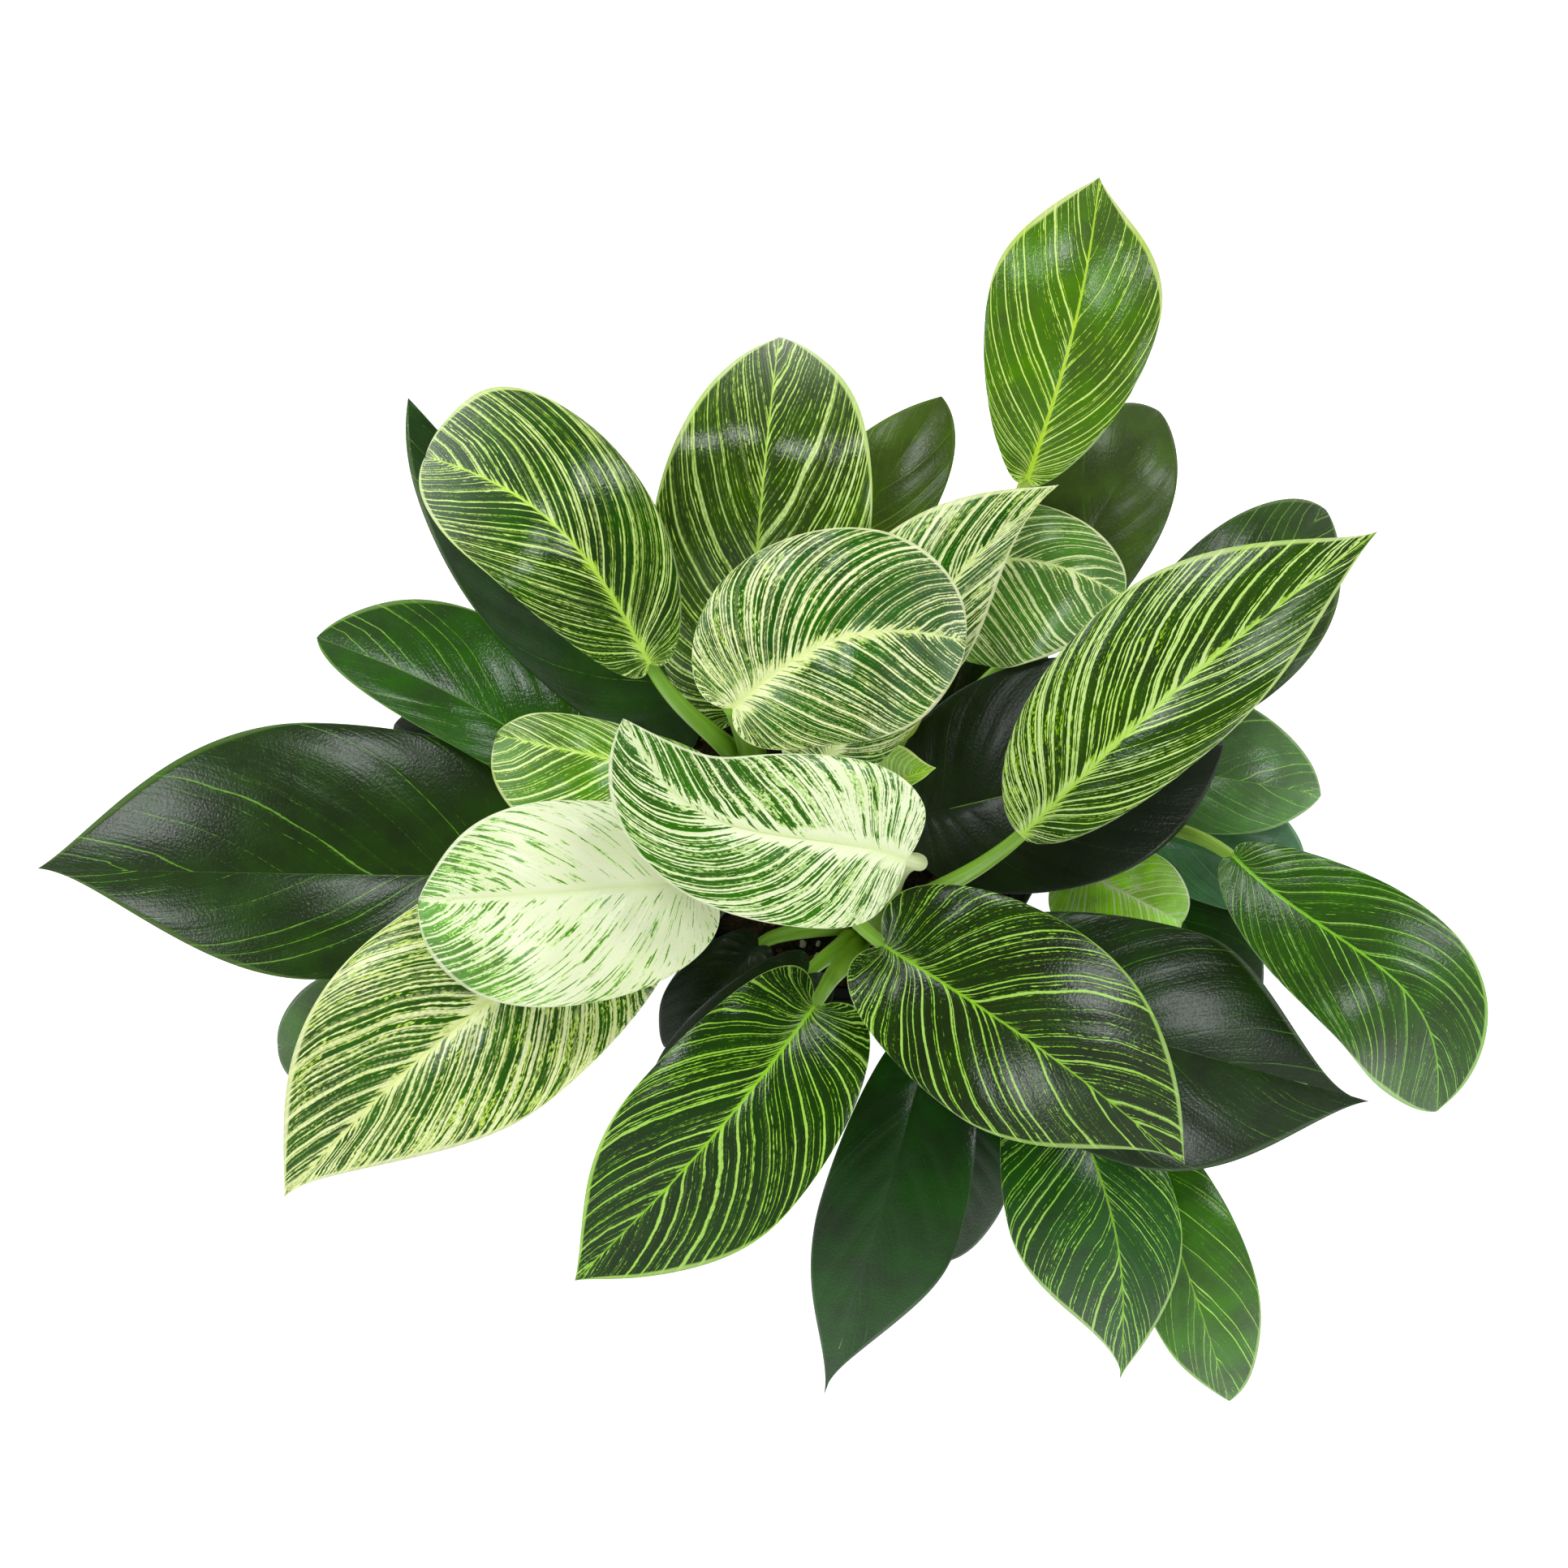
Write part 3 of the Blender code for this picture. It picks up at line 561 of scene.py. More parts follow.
def blade_grid(leaf, settings, seed):
    """The blade's middle surface and what its material reads, on a grid of veins t by columns s."""
    midrib = Midrib(leaf)
    t = np.linspace(0.0, 1.0, settings.rows + 1)
    share = np.linspace(-1.0, 1.0, 2 * settings.columns + 1)
    s = np.sign(share) * np.abs(share) ** COLUMN_CROWDING
    points = np.zeros((len(t), len(s), 3))
    from_rib, along_rib = np.zeros((2, len(t), len(s)))
    v = t[:, None]
    root = v**3.0
    for side, half, chosen, edge in (
        (1, leaf.half[0], s >= 0, outline(leaf, t, 0)),
        (-1, leaf.half[1], s < 0, outline(leaf, t, 1)),
    ):
        a = np.abs(s[chosen])[None, :]
        reach, width = edge[:, :1], edge[:, 1:]
        # a side vein leaves the midrib nearly across it, and then swings towards the tip
        x = root + (reach - root) * a * (1 - VEIN_SWING + VEIN_SWING * a)
        ahead = VEIN_LEAD * (1 - root) * np.minimum(v / LEAD_FROM, 1) ** 2
        x = x + ahead * (1 - np.exp(-a / LEAD_WIDTH)) * (1 - a)
        across = width * (1 - (1 - a) ** COLUMN_EASE) * half
        start, bend = math.radians(leaf.fold), math.radians(leaf.curl) / half
        out = (np.sin(start + bend * across) - math.sin(start)) / bend
        up = (math.cos(start) - np.cos(start + bend * across)) / bend
        # bulges between the side veins, a waving margin and a groove along the midrib
        phase = seed * 1.7 + side
        veins = np.abs(np.sin(np.pi * (settings.veins * v + VEIN_WAVER * np.sin(9 * v + phase))))
        relief = settings.relief / MM * (veins**0.8 - 0.6) * np.sin(np.pi * a**0.8) ** 0.7
        wave = np.sin(2 * np.pi * RIPPLES * v + phase) * np.sin(np.pi * v)
        wave = settings.wave / MM * a**3 * wave
        groove = np.exp(-((across / GROOVE_WIDTH) ** 2)) * (1 - v * 0.6)
        groove = -settings.groove / MM * groove
        centre, _, left, normal = midrib.at(x)
        lift = up + relief * np.minimum(width * 1.5, 1) + wave + groove
        points[:, chosen] = centre + left * (side * out)[..., None] + normal * lift[..., None]
        from_rib[:, chosen] = across
        along_rib[:, chosen] = np.clip(x, 0, 1)
    return midrib, t, s, points, from_rib, along_rib


def shell_of(points, thick):
    """Top and bottom points of a thin closed blade around its middle surface, and its faces."""
    rows, columns = points.shape[:2]
    normal = unit(np.cross(np.gradient(points, axis=0), np.gradient(points, axis=1)))
    normal[0], normal[-1] = normal[1], normal[-2]
    if normal[rows // 2, columns // 2, 2] < 0:
        normal = -normal
    edge = np.abs(np.linspace(-1, 1, columns))
    half = thick * (1 - EDGE_THINNING * edge**6)
    top = points + normal * half[None, :, None]
    low = points - normal * half[None, :, None]
    top[0], low[0], top[-1], low[-1] = points[0], points[0], points[-1], points[-1]
    number = np.arange(rows * columns).reshape(rows, columns)
    upper = grid_quads(number)
    rims = []
    for line, step in ((number[:, 0], 1), (number[:, -1], -1)):
        below = line + number.size
        strip = np.stack([line[:-1], line[1:], below[1:], below[:-1]], -1)
        rims.append(strip[:, ::step])
    return top, low, upper, upper[:, ::-1] + number.size, np.concatenate(rims)


def stem_axis(key, above):
    stem = STEMS[key]
    share = max(above, 0.0) / stem["height"]
    x, y = [foot + lean * share for foot, lean in zip(stem["foot"], stem["lean"])]
    return np.array([x, y, SOIL_TOP + above])


def stem_radius(key, above):
    share = min(max(above, 0.0) / STEMS[key]["height"], 1.0)
    plain = STEM_RADIUS + (STEM_TOP_RADIUS - STEM_RADIUS) * share**2
    return plain * (1.0 + STEM_RIPPLE * math.cos(2 * math.pi * above / STEM_RINGS))


def petiole_line(leaf, midrib, steps):
    """Points and radii of the petiole and of the rib that it becomes under the blade."""
    base, tangent, _, normal = midrib.at(0.0)
    neck = base - normal * (PETIOLE_NECK - NECK_BURY)
    axis = stem_axis(leaf.stem, leaf.node)
    outward = Vector((neck[0] - axis[0], neck[1] - axis[1], 0.0)).normalized()
    outward = np.array(Matrix.Rotation(math.radians(leaf.swing), 3, "Z") @ outward)
    leave, climb = math.radians(leaf.leave), math.radians(leaf.climb)
    start_way = outward * math.cos(leave) + np.array([0, 0, math.sin(leave)])
    flat = unit(np.array([tangent[0], tangent[1], 0.0]))
    end_way = flat * math.cos(climb) + np.array([0, 0, math.sin(climb)])
    # the foot's seat depends on the slope that it leaves with, so both are found in turn
    slope = leave
    for _ in range(SEAT_ROUNDS):
        nearest = leaf.node + PETIOLE_FOOT * math.cos(slope)
        seat = stem_radius(leaf.stem, nearest) + leaf.seat + PETIOLE_FOOT * math.sin(slope)
        foot = axis + outward * seat
        reach = np.linalg.norm(neck - foot)
        held = foot + start_way * reach * FOOT_PULL, neck - end_way * reach * NECK_PULL
        curve = (foot, *held, neck)
        slope = math.asin(unit(bezier(curve, 1 / PETIOLE_STEPS) - foot)[2])
    t = np.linspace(0, 1, steps + 1)
    radii = PETIOLE_MIDDLE + (PETIOLE_FOOT - PETIOLE_MIDDLE) * (1 - t) ** 4
    radii = radii + (PETIOLE_NECK - PETIOLE_MIDDLE) * t * t
    shares = np.linspace(RIB_START, RIB_REACH, steps)
    point, _, _, normal = midrib.at(shares)
    thin = PETIOLE_NECK + (RIB_END - PETIOLE_NECK) * (shares / RIB_REACH) ** RIB_TAPER
    line = np.concatenate([bezier(curve, t), point - normal * (thin - RIB_BURY)[:, None]])
    for _ in range(SMOOTHING_ROUNDS):
        line[1:-1] += (line[:-2] + line[2:] - 2 * line[1:-1]) * SMOOTHING
    return line, np.concatenate([radii, thin])


def stalk_tree(finish):
    """Sweeps a round profile along a curve by its radius, and keeps the ways along and round."""
    tree, node, given = shape_tree("petiole_sweep", ("Sides", "Int", 16), ("Unit", "Float", MM))
    sides, unit_radius = given.outputs["Sides"], given.outputs["Unit"]
    ring = node("GeometryNodeCurvePrimitiveCircle", Resolution=sides, Radius=unit_radius)
    path, profile = [
        node(
            "GeometryNodeStoreNamedAttribute",
            curve,
            Name=name,
            Value=node("GeometryNodeSplineParameter"),
            data_type="FLOAT",
            domain="POINT",
        )
        for name, curve in (("run", given), ("round", ring))
    ]
    radius = node("GeometryNodeInputRadius")
    swept = dict(Curve=path, Profile_Curve=profile, Scale=radius, Fill_Caps=True)
    end_tree(node, node("GeometryNodeCurveToMesh", **swept), finish)
    return tree


def swept_stalk(tree, line, radii, sides):
    """The swept petiole as arrays: points in millimetres, faces, way along and way round."""
    mesh = curve_mesh("petiole", line, radii, tree, Sides=sides)
    points = np.zeros(len(mesh.vertices) * 3)
    mesh.vertices.foreach_get("co", points)
    ways = np.zeros((2, len(mesh.vertices)))
    for name, way in zip(("run", "round"), ways):
        mesh.attributes[name].data.foreach_get("value", way)
    faces = [list(p.vertices) for p in mesh.polygons]
    bpy.data.meshes.remove(mesh)
    return points.reshape(-1, 3) / MM, faces, *ways


def leaf_piece(leaf, look, settings, tree, finishes, seed):
    """The grown leaf in one mesh: upper face, underside with margin, and petiole with rib."""
    midrib, t, s, points, from_rib, along = blade_grid(leaf, settings, seed)
    top, low, upper, lower, rims = shell_of(points, settings.thickness / MM / 2)
    line, radii = petiole_line(leaf, midrib, settings.stalk_steps)
    stalk, stalk_faces, run, round_way = swept_stalk(tree, line, radii, settings.stalk_sides)
    blade = 2 * t.size * s.size
    total = blade + len(stalk)
    places = np.concatenate([top.reshape(-1, 3), low.reshape(-1, 3), stalk]) * MM
    faces = [*upper.tolist(), *lower.tolist(), *rims.tolist()]
    faces += [[i + blade for i in face] for face in stalk_faces]
    made = mesh_object(leaf.name + "_striped", places, faces, *finishes)
    mesh = made.data
    kinds = [0] * len(upper) + [1] * (len(lower) + len(rims)) + [2] * len(stalk_faces)
    mesh.polygons.foreach_set("material_index", kinds)

    def joined(grid, on_stalk):
        """One value for each point: the grid's for the top and the bottom, then the petiole's."""
        return np.concatenate([grid.ravel(), grid.ravel(), on_stalk])

    cover = np.interp(along, (0.0, 0.5, 1.0), np.broadcast_to(look.cover, 3))
    cover = cover + look.edge * np.abs(s) ** 2 + look.lean * np.sign(s)
    rib = from_rib / (0.45 * look.rib * (1.0 - 0.8 * along) + 0.1)
    ground, stripe, stalk_green = [
        (*linear(colour), 1.0) for colour in (look.ground, look.stripe, look.stalk)
    ]
    for name, data in {
        "cover": joined(cover, np.zeros(len(stalk))),
        "rib": joined(rib, run),
        "seed": np.full(total, float(seed)),
        "line": np.full(total, look.line),
        "dull": np.full(total, look.dull),
        "ground": np.array([ground] * blade + [stalk_green] * len(stalk)),
        "stripe": np.tile(stripe, (total, 1)),
    }.items():
        kind, field = ("FLOAT", "value") if data.ndim == 1 else ("FLOAT_COLOR", "color")
        layer = mesh.attributes.new(name, kind, "POINT")
        layer.data.foreach_set(field, data.astype(np.float32).ravel())
    grid_t, grid_s = np.meshgrid(t, s, indexing="ij")
    ways = np.stack([joined(grid_t, run), joined(grid_s, round_way)], -1)
    corners = np.zeros(len(mesh.loops), int)
    mesh.loops.foreach_get("vertex_index", corners)
    layer = mesh.uv_layers.new(name="veins")
    layer.data.foreach_set("uv", ways[corners].astype(np.float32).ravel())
    shape = bmesh.new()
    shape.from_mesh(mesh)
    bmesh.ops.remove_doubles(shape, verts=shape.verts, dist=MERGE)
    bmesh.ops.dissolve_degenerate(shape, edges=shape.edges, dist=SLIVER)
    shape.to_mesh(mesh)
    shape.free()
    return put(made, "leaf_green", leaf.name)


def stripe_heights(node, at, t, s, seed, score):
    """The greater of a score and the lines along the side veins: near 1 on a strong line."""
    drift = node("TexNoise", at, Scale=3.0, Detail=1.0)
    side = node("Math", s, 0.0, operation="GREATER_THAN")
    for count, least, most, slope, breaks, depth in STRIPE_FAMILIES:
        place = node("Math", drift, 0.02 * count, operation="MULTIPLY")
        place = node("Math", t, float(count), place, operation="MULTIPLY_ADD")
        cell = node("Math", place, operation="FLOOR")
        # each line has its own place in its cell, and its own height
        own = node("CombineXYZ", cell, side, seed)
        chance = node("TexWhiteNoise", own, noise_dimensions="3D").outputs["Color"]
        chance = node("SeparateXYZ", chance)
        shift = node("MapRange", chance, 0.0, 1.0, 0.32, 0.68)
        inside = node("Math", place, operation="FRACT")
        aside = node("Math", inside, shift, operation="SUBTRACT")
        aside = node("Math", aside, operation="ABSOLUTE")
        height = node("MapRange", chance.outputs["Y"], 0.0, 1.0, least, most)
        height = node("Math", aside, -slope, height, operation="MULTIPLY_ADD")
        # dashes break it up towards the margin
        out = node("Math", s, breaks, operation="MULTIPLY")
        row = node("Math", cell, 3.7, seed, operation="MULTIPLY_ADD")
        dash = node("CombineXYZ", out, row, side)
        dash = node("TexNoise", dash, Scale=1.0, Detail=2.0, Roughness=0.7)
        dash = node("Math", dash, 0.5, operation="SUBTRACT")
        height = node("Math", dash, depth, height, operation="MULTIPLY_ADD")
        score = node("Math", score, height, operation="MAXIMUM")
    return score


def leaf_top_material():
    """Living leaf, upper face: waxy cuticle over chlorophyll, with pale stripes along the veins.

    A strong stripe is about 1.5 mm wide at the midrib and half that at the margin; the thin broken
    ones between are 0.3 to 0.5 mm. In the UV map x runs from the notch to the tip, and y from one
    margin through 0 at the midrib to the other.
    """
    made, node, shader = new_material("birkin leaf, waxy upper face")
    way = node("SeparateXYZ", node("UVMap", uv_map="veins"))
    t, s = way.outputs["X"], way.outputs["Y"]
    seed, cover, rib, line, dull = [
        node("Attribute", attribute_name=name).outputs["Fac"]
        for name in ("seed", "cover", "rib", "line", "dull")
    ]
    ground, stripe = [
        node("Attribute", attribute_name=name).outputs["Color"] for name in ("ground", "stripe")
    ]
    at = node("CombineXYZ", t, s, seed)

    # noise drawn out along the side veins, by how often it changes along the blade and outwards:
    # short green dashes, living cells drawn 0.3 mm wide, and patches of a few veins
    spots = [
        node("VectorMath", at, (*often, 1.0), operation="MULTIPLY")
        for often in ((78.0, 5.0), (260.0, 38.0), (11.0, 1.6))
    ]
    dashes, cells, patch = [node("TexNoise", spot, Scale=1.0, Detail=1.0) for spot in spots]

    # the lines; where most is pale, the green that is left stands in dashes; ragged edges
    score = node("MapRange", dashes, 0.3, 0.55, -0.1, 0.48)
    score = stripe_heights(node, at, t, s, seed, score)
    score = node("Math", cells, 0.34, score, operation="MULTIPLY_ADD")

    # how much is pale here: the leaf's own cover, more beside the midrib, uneven over a few veins
    near = node("MapRange", rib, 6.0, 0.4, 0.0, 0.8)
    near = node("Math", near, cover, operation="MULTIPLY")
    amount = node("Math", patch, 0.4, cover, operation="MULTIPLY_ADD")
    amount = node("Math", near, amount, operation="ADD")
    level = node("Math", amount, -0.62, 1.18, operation="MULTIPLY_ADD")
    over = node("Math", score, level, operation="SUBTRACT")
    pale, fringe, heart = [
        node("MapRange", over, *ends, interpolation_type="SMOOTHSTEP")
        for ends in ((-0.02, 0.03), (-0.04, 0.01), (0.015, 0.12))
    ]
    midrib = node("Math", cells, 0.9, rib, operation="MULTIPLY_ADD")
    midrib = node("MapRange", midrib, 1.6, 1.2, 0.0, line)
    reach = node("Math", s, operation="ABSOLUTE")
    reach = node("Math", patch, 0.03, reach, operation="MULTIPLY_ADD")
    rim = node("MapRange", reach, 0.962, 0.982, 0.0, line)
    for other in (midrib, rim):
        heart = node("Math", heart, other, operation="MAXIMUM")
    light = node("Math", pale, heart, operation="MAXIMUM")

    # colours: deep green mottled over a few millimetres, a lime fringe along each stripe, and
    # stripes that are yellower beside the midrib and in places
    place = node("TexCoord").outputs["Object"]
    mottle = node("TexNoise", place, Scale=55.0, Detail=4.0, Roughness=0.6)
    between = node("Mix", 0.55, ground, stripe, data_type="RGBA")
    dark = node("HueSaturation", Color=ground, Hue=0.49, Saturation=0.9, Value=0.68)
    bright = node("HueSaturation", Color=ground, Saturation=1.05, Value=1.22)
    lime = node("HueSaturation", Color=between, Hue=0.52, Saturation=1.8, Value=1.2)
    yellow = node("HueSaturation", Color=stripe, Hue=0.516, Saturation=1.5, Value=0.95)
    spread = node("MapRange", mottle, 0.35, 0.65)
    green = node("Mix", spread, dark, bright, data_type="RGBA")
    warm = node("MapRange", rib, 4.0, 0.5, 0.0, 0.85)
    uneven = node("MapRange", patch, 0.6, 0.35, 0.0, 0.5)
    warm = node("Math", warm, uneven, operation="MAXIMUM")
    cream = node("Mix", warm, stripe, yellow, data_type="RGBA")
    fringed = node("Mix", fringe, green, lime, data_type="RGBA")
    colour = node("Mix", heart, fringed, cream, data_type="RGBA")

    rough = 0.10
    for cause, share in ((mottle, 0.14), (dull, 0.25), (light, 0.07)):
        rough = node("Math", cause, share, rough, operation="MULTIPLY_ADD")
    # pebbled wax in cells of 1 mm, over the faint furrows of the stripes
    pebble = node("TexNoise", place, Scale=1000.0, Detail=2.0)
    height = node("Math", score, 0.5, pebble, operation="MULTIPLY_ADD")
    surface(node, shader, colour, height, 0.6, 0.00022, Roughness=rough)
    node(shader, Coat_Weight=0.1, Coat_Roughness=0.15, IOR=1.35)
    return made


def leaf_under_material():
    """Living leaf, underside: no wax, paler and duller, with the stripes showing through."""
    made, node, shader = new_material("birkin leaf, matt underside")
    ground, stripe, cover = [
        node("Attribute", attribute_name=name).outputs[kind]
        for name, kind in (("ground", "Color"), ("stripe", "Color"), ("cover", "Fac"))
    ]
    veins = node("Mapping", node("UVMap", uv_map="veins"), Scale=(40.0, 2.0, 1.0))
    streak = node("TexNoise", veins, Scale=1.0, Detail=2.0)
    soft = node("HueSaturation", Color=ground, Saturation=0.7, Value=1.9)
    amount = node("Math", streak, cover, operation="MULTIPLY", use_clamp=True)
    colour = node("Mix", amount, soft, stripe, data_type="RGBA")
    rough = node("MapRange", streak, 0.0, 1.0, 0.48, 0.66)
    surface(node, shader, colour, streak, 0.5, 0.0005, Roughness=rough, IOR=1.42)
    return made


def petiole_material():
    """Living leaf stalk: smooth juicy skin with faint lengthwise streaks, darker at the foot."""
    made, node, shader = new_material("petiole, smooth green skin")
    ground = node("Attribute", attribute_name="ground").outputs["Color"]
    place = node("UVMap", uv_map="veins")
    stretched = node("Mapping", place, Scale=(3.0, 14.0, 1.0))
    streak = node("TexNoise", stretched, Scale=1.0, Detail=3.0)
    foot = node("MapRange", node("SeparateXYZ", place), 0.18, 0.0)
    dark = node("HueSaturation", Color=ground, Saturation=1.05, Value=0.55)
    pale = node("HueSaturation", Color=ground, Saturation=0.85, Value=1.2)
    spread = node("MapRange", streak, 0.35, 0.65)
    skin = node("Mix", spread, ground, pale, data_type="RGBA")
    colour = node("Mix", foot, skin, dark, data_type="RGBA")
    rough = node("MapRange", streak, 0.0, 1.0, 0.26, 0.44)
    surface(node, shader, colour, streak, 0.25, 0.0004, Roughness=rough)
    node(shader, Coat_Weight=0.05, Coat_Roughness=0.25, IOR=1.38)
    return made


class LeafSettings(bpy.types.PropertyGroup):
    rows: IntProperty(
        name="Rows", description="Grid rows from notch to tip", default=72, min=12, max=200
    )
    columns: IntProperty(
        name="Columns", description="Grid columns in half a blade", default=26, min=6, max=80
    )
    stalk_steps: IntProperty(
        name="Stalk steps", description="Rings along a petiole", default=26, min=6, max=80
    )
    stalk_sides: IntProperty(
        name="Stalk sides", description="Sides of a petiole", default=16, min=6, max=48
    )
    veins: FloatProperty(
        name="Side veins", description="Side veins in half a blade", default=10.0, min=1.0
    )
    thickness: FloatProperty(
        name="Thickness", description="Thickness of a blade", default=0.00055, unit="LENGTH"
    )
    relief: FloatProperty(
        name="Relief", description="Bulge between side veins", default=0.00035, unit="LENGTH"
    )
    wave: FloatProperty(
        name="Wave", description="Wave of the margin", default=0.0009, unit="LENGTH"
    )
    groove: FloatProperty(
        name="Groove", description="Depth of the midrib's groove", default=0.0002, unit="LENGTH"
    )


class PLANT_OT_leaves(bpy.types.Operator):
    """Make the striped leaves, each with its blade, midrib and petiole"""

    bl_idname = "plant.leaves"
    bl_label = "Make leaves"

    def execute(self, context):
        settings = context.scene.plant_leaves
        finishes = (leaf_top_material(), leaf_under_material(), petiole_material())
        tree = stalk_tree(finishes[2])
        for i, leaf in enumerate(LEAVES):
            leaf_piece(leaf, LOOKS[leaf.name], settings, tree, finishes, SEED_STEP * i)
        return {"FINISHED"}


# ---- stems

# Rises above a stem's top, and the shares of its radius there, that round off its crown
CROWN = ((1.5, 0.9), (3.0, 0.74), (4.2, 0.5), (4.9, 0.2))
# Dents in the skin: their share of the radius, and how often they come round and up the stem
DENT_DEPTH = 0.05
DENTS_ROUND = 2
DENTS_UP = 0.12
# The line that the scars follow: from above the mix to below the top, just proud of the skin
SCAR_RISE = 4.0
SCAR_DROP = 6.0
SCAR_STEPS = 24
SCAR_STAND = 1.01
# Dry sheaths: where each starts above the mix and how long it is, and the turn between two
SHEATHS = ((3.0, 24.0), (13.0, 20.0), (24.0, 22.0))
SHEATH_TURN = 2.4
# The way that the first one faces, and its turn from stem to stem; half the angle at the foot and
# at the point; the inner and outer skin, and what scales how far both stand off
SHEATH_START = 0.8
SHEATH_STEM_TURN = 2.1
SHEATH_SPREAD = 0.95
SHEATH_POINT = 0.02
SHEATH_SKINS = (0.0, 0.35)
SHEATH_STAND = 0.8


def stem_material():
    """Young aroid stem: green skin that turns corky and brown low down, over fine cells."""
    made, node, shader = new_material("stem, green to corky skin")
    place = node("TexCoord").outputs["Object"]
    height = node("SeparateXYZ", place).outputs["Z"]
    patches = node("TexNoise", place, Scale=160.0, Detail=5.0)
    cells = node("TexVoronoi", place, Scale=900.0)
    level = node("Math", patches, 0.05, height, operation="MULTIPLY_ADD")
    young = node("MapRange", level, 0.145, 0.195)
    cork = node("Mix", patches, "#4a3b22", "#7c6a3c", data_type="RGBA")
    skin = node("Mix", patches, "#4d6a1c", "#86a63a", data_type="RGBA")
    colour = node("Mix", young, cork, skin, data_type="RGBA")
    rough = node("MapRange", young, 0.0, 1.0, 0.8, 0.42)
    surface(node, shader, colour, cells, 0.4, 0.0004, Roughness=rough, IOR=1.45)
    return made


def sheath_material():
    """Dried leaf sheath: thin brown paper with lengthwise fibres."""
    made, node, shader = new_material("dry sheath, papery")
    place = node("TexCoord").outputs["Object"]
    stretched = node("Mapping", place, Scale=(900.0, 900.0, 60.0))
    fibres = node("TexNoise", stretched, Scale=1.0, Detail=3.0)
    colour = node("Mix", fibres, "#6b4a26", "#b9935c", data_type="RGBA")
    surface(node, shader, colour, fibres, 0.6, 0.0003, Roughness=0.75)
    return made


def scar_tree(finish):
    """Thin uneven collars at even heights along a stem's line, where leaves have stood."""
    sockets = ("Spacing", "Float", 0.011), ("Collar", "Float", 0.0007), ("Seed", "Int", 4)
    tree, node, given = shape_tree("leaf_scars", *sockets)
    spacing, thick, seed = [given.outputs[name] for name, _, _ in sockets]
    spaced = node("GeometryNodeResampleCurve", Curve=given, Length=spacing, mode="LENGTH")
    ring = node("GeometryNodeCurvePrimitiveCircle", Resolution=36, Radius=1.0)
    section = node("GeometryNodeCurvePrimitiveCircle", Resolution=6, Radius=thick)
    collar = node("GeometryNodeCurveToMesh", Curve=ring, Profile_Curve=section)
    radius = node("GeometryNodeInputRadius")
    tilts = dict(Min=(-0.09, -0.09, 0.0), Max=(0.09, 0.09, 3.1), Seed=seed)
    tilt = node("FunctionNodeRandomValue", data_type="FLOAT_VECTOR", **tilts)
    size = node("CombineXYZ", radius, radius, 1.0)
    spots = dict(Points=spaced, Instance=collar, Rotation=tilt, Scale=size)
    end_tree(node, node("GeometryNodeInstanceOnPoints", **spots), finish)
    return tree


def stem_body(key, finish, rings=70, sides=40):
    """The stem's own skin, ringed and a little uneven, closed at its rooted end and its crown."""
    height = STEMS[key]["height"]
    levels = [(level, 1.0) for level in np.linspace(-STEM_ROOT_DEPTH, height, rings)]
    levels += [(height + rise, share) for rise, share in CROWN]
    points = []
    for (level, share), i in product(levels, range(sides)):
        out = Vector((*spoke(i, sides), 0.0))
        uneven = Vector((out.x * DENTS_ROUND, out.y * DENTS_ROUND, level * DENTS_UP))
        uneven += Vector((ord(key), 0, 0))
        radius = stem_radius(key, min(level, height)) * share
        radius *= 1 + DENT_DEPTH * noise.noise(uneven)
        points.append(stem_axis(key, level) + np.array(out) * radius)
    faces = tube_faces(len(levels), sides)
    return mesh_object(f"stem_{key}_skin", np.array(points) * MM, faces, finish)


def stem_scars(key, tree):
    """The collars of one stem, from a curve along it whose radius is the stem's."""
    levels = np.linspace(SCAR_RISE, STEMS[key]["height"] - SCAR_DROP, SCAR_STEPS)
    radii = [stem_radius(key, level) * MM * SCAR_STAND for level in levels]
    line = [stem_axis(key, level) for level in levels]
    mesh = curve_mesh("scars", line, radii, tree, Seed=ord(key))
    mesh.name = f"stem_{key}_scars"
    mesh.shade_smooth()
    return placed(mesh.name, mesh)


def dry_sheaths(key, finish, way_start, rows=12, columns=10):
    """Three dry sheath remnants that hug a stem low down, each a thin pointed shell."""
    points, faces = [], []
    number = np.arange((rows + 1) * (columns + 1)).reshape(rows + 1, columns + 1)
    border = [number[:-1, 0], number[-1, :-1], number[:0:-1, -1], number[0, :0:-1]]
    for i, (foot, length) in enumerate(SHEATHS):
        for skin, r, c in product(SHEATH_SKINS, range(rows + 1), range(columns + 1)):
            share = r / rows
            level = foot + length * share
            spread = SHEATH_SPREAD * (1 - share) ** 0.7 + SHEATH_POINT
            way = way_start + i * SHEATH_TURN + spread * (2 * c / columns - 1)
            off = 1.0 + 1.1 * share**2 + skin + 0.5 * math.sin(7 * way + 3 * share)
            radius = stem_radius(key, level) + off * SHEATH_STAND
            out = np.array([math.cos(way), math.sin(way), 0.0])
            points.append(stem_axis(key, level) + out * radius)
        inner = number + i * 2 * number.size
        outer = inner + number.size
        side = np.concatenate(border) + i * 2 * number.size
        after = np.roll(side, -1)
        rim = np.stack([side, side + number.size, after + number.size, after], -1)
        faces += [*grid_quads(outer).tolist(), *grid_quads(inner)[:, ::-1].tolist(), *rim.tolist()]
    made = mesh_object(f"stem_{key}_sheaths", np.array(points) * MM, faces, finish)
    shape = bmesh.new()
    shape.from_mesh(made.data)
    bmesh.ops.recalc_face_normals(shape, faces=shape.faces)
    shape.to_mesh(made.data)
    shape.free()
    return made


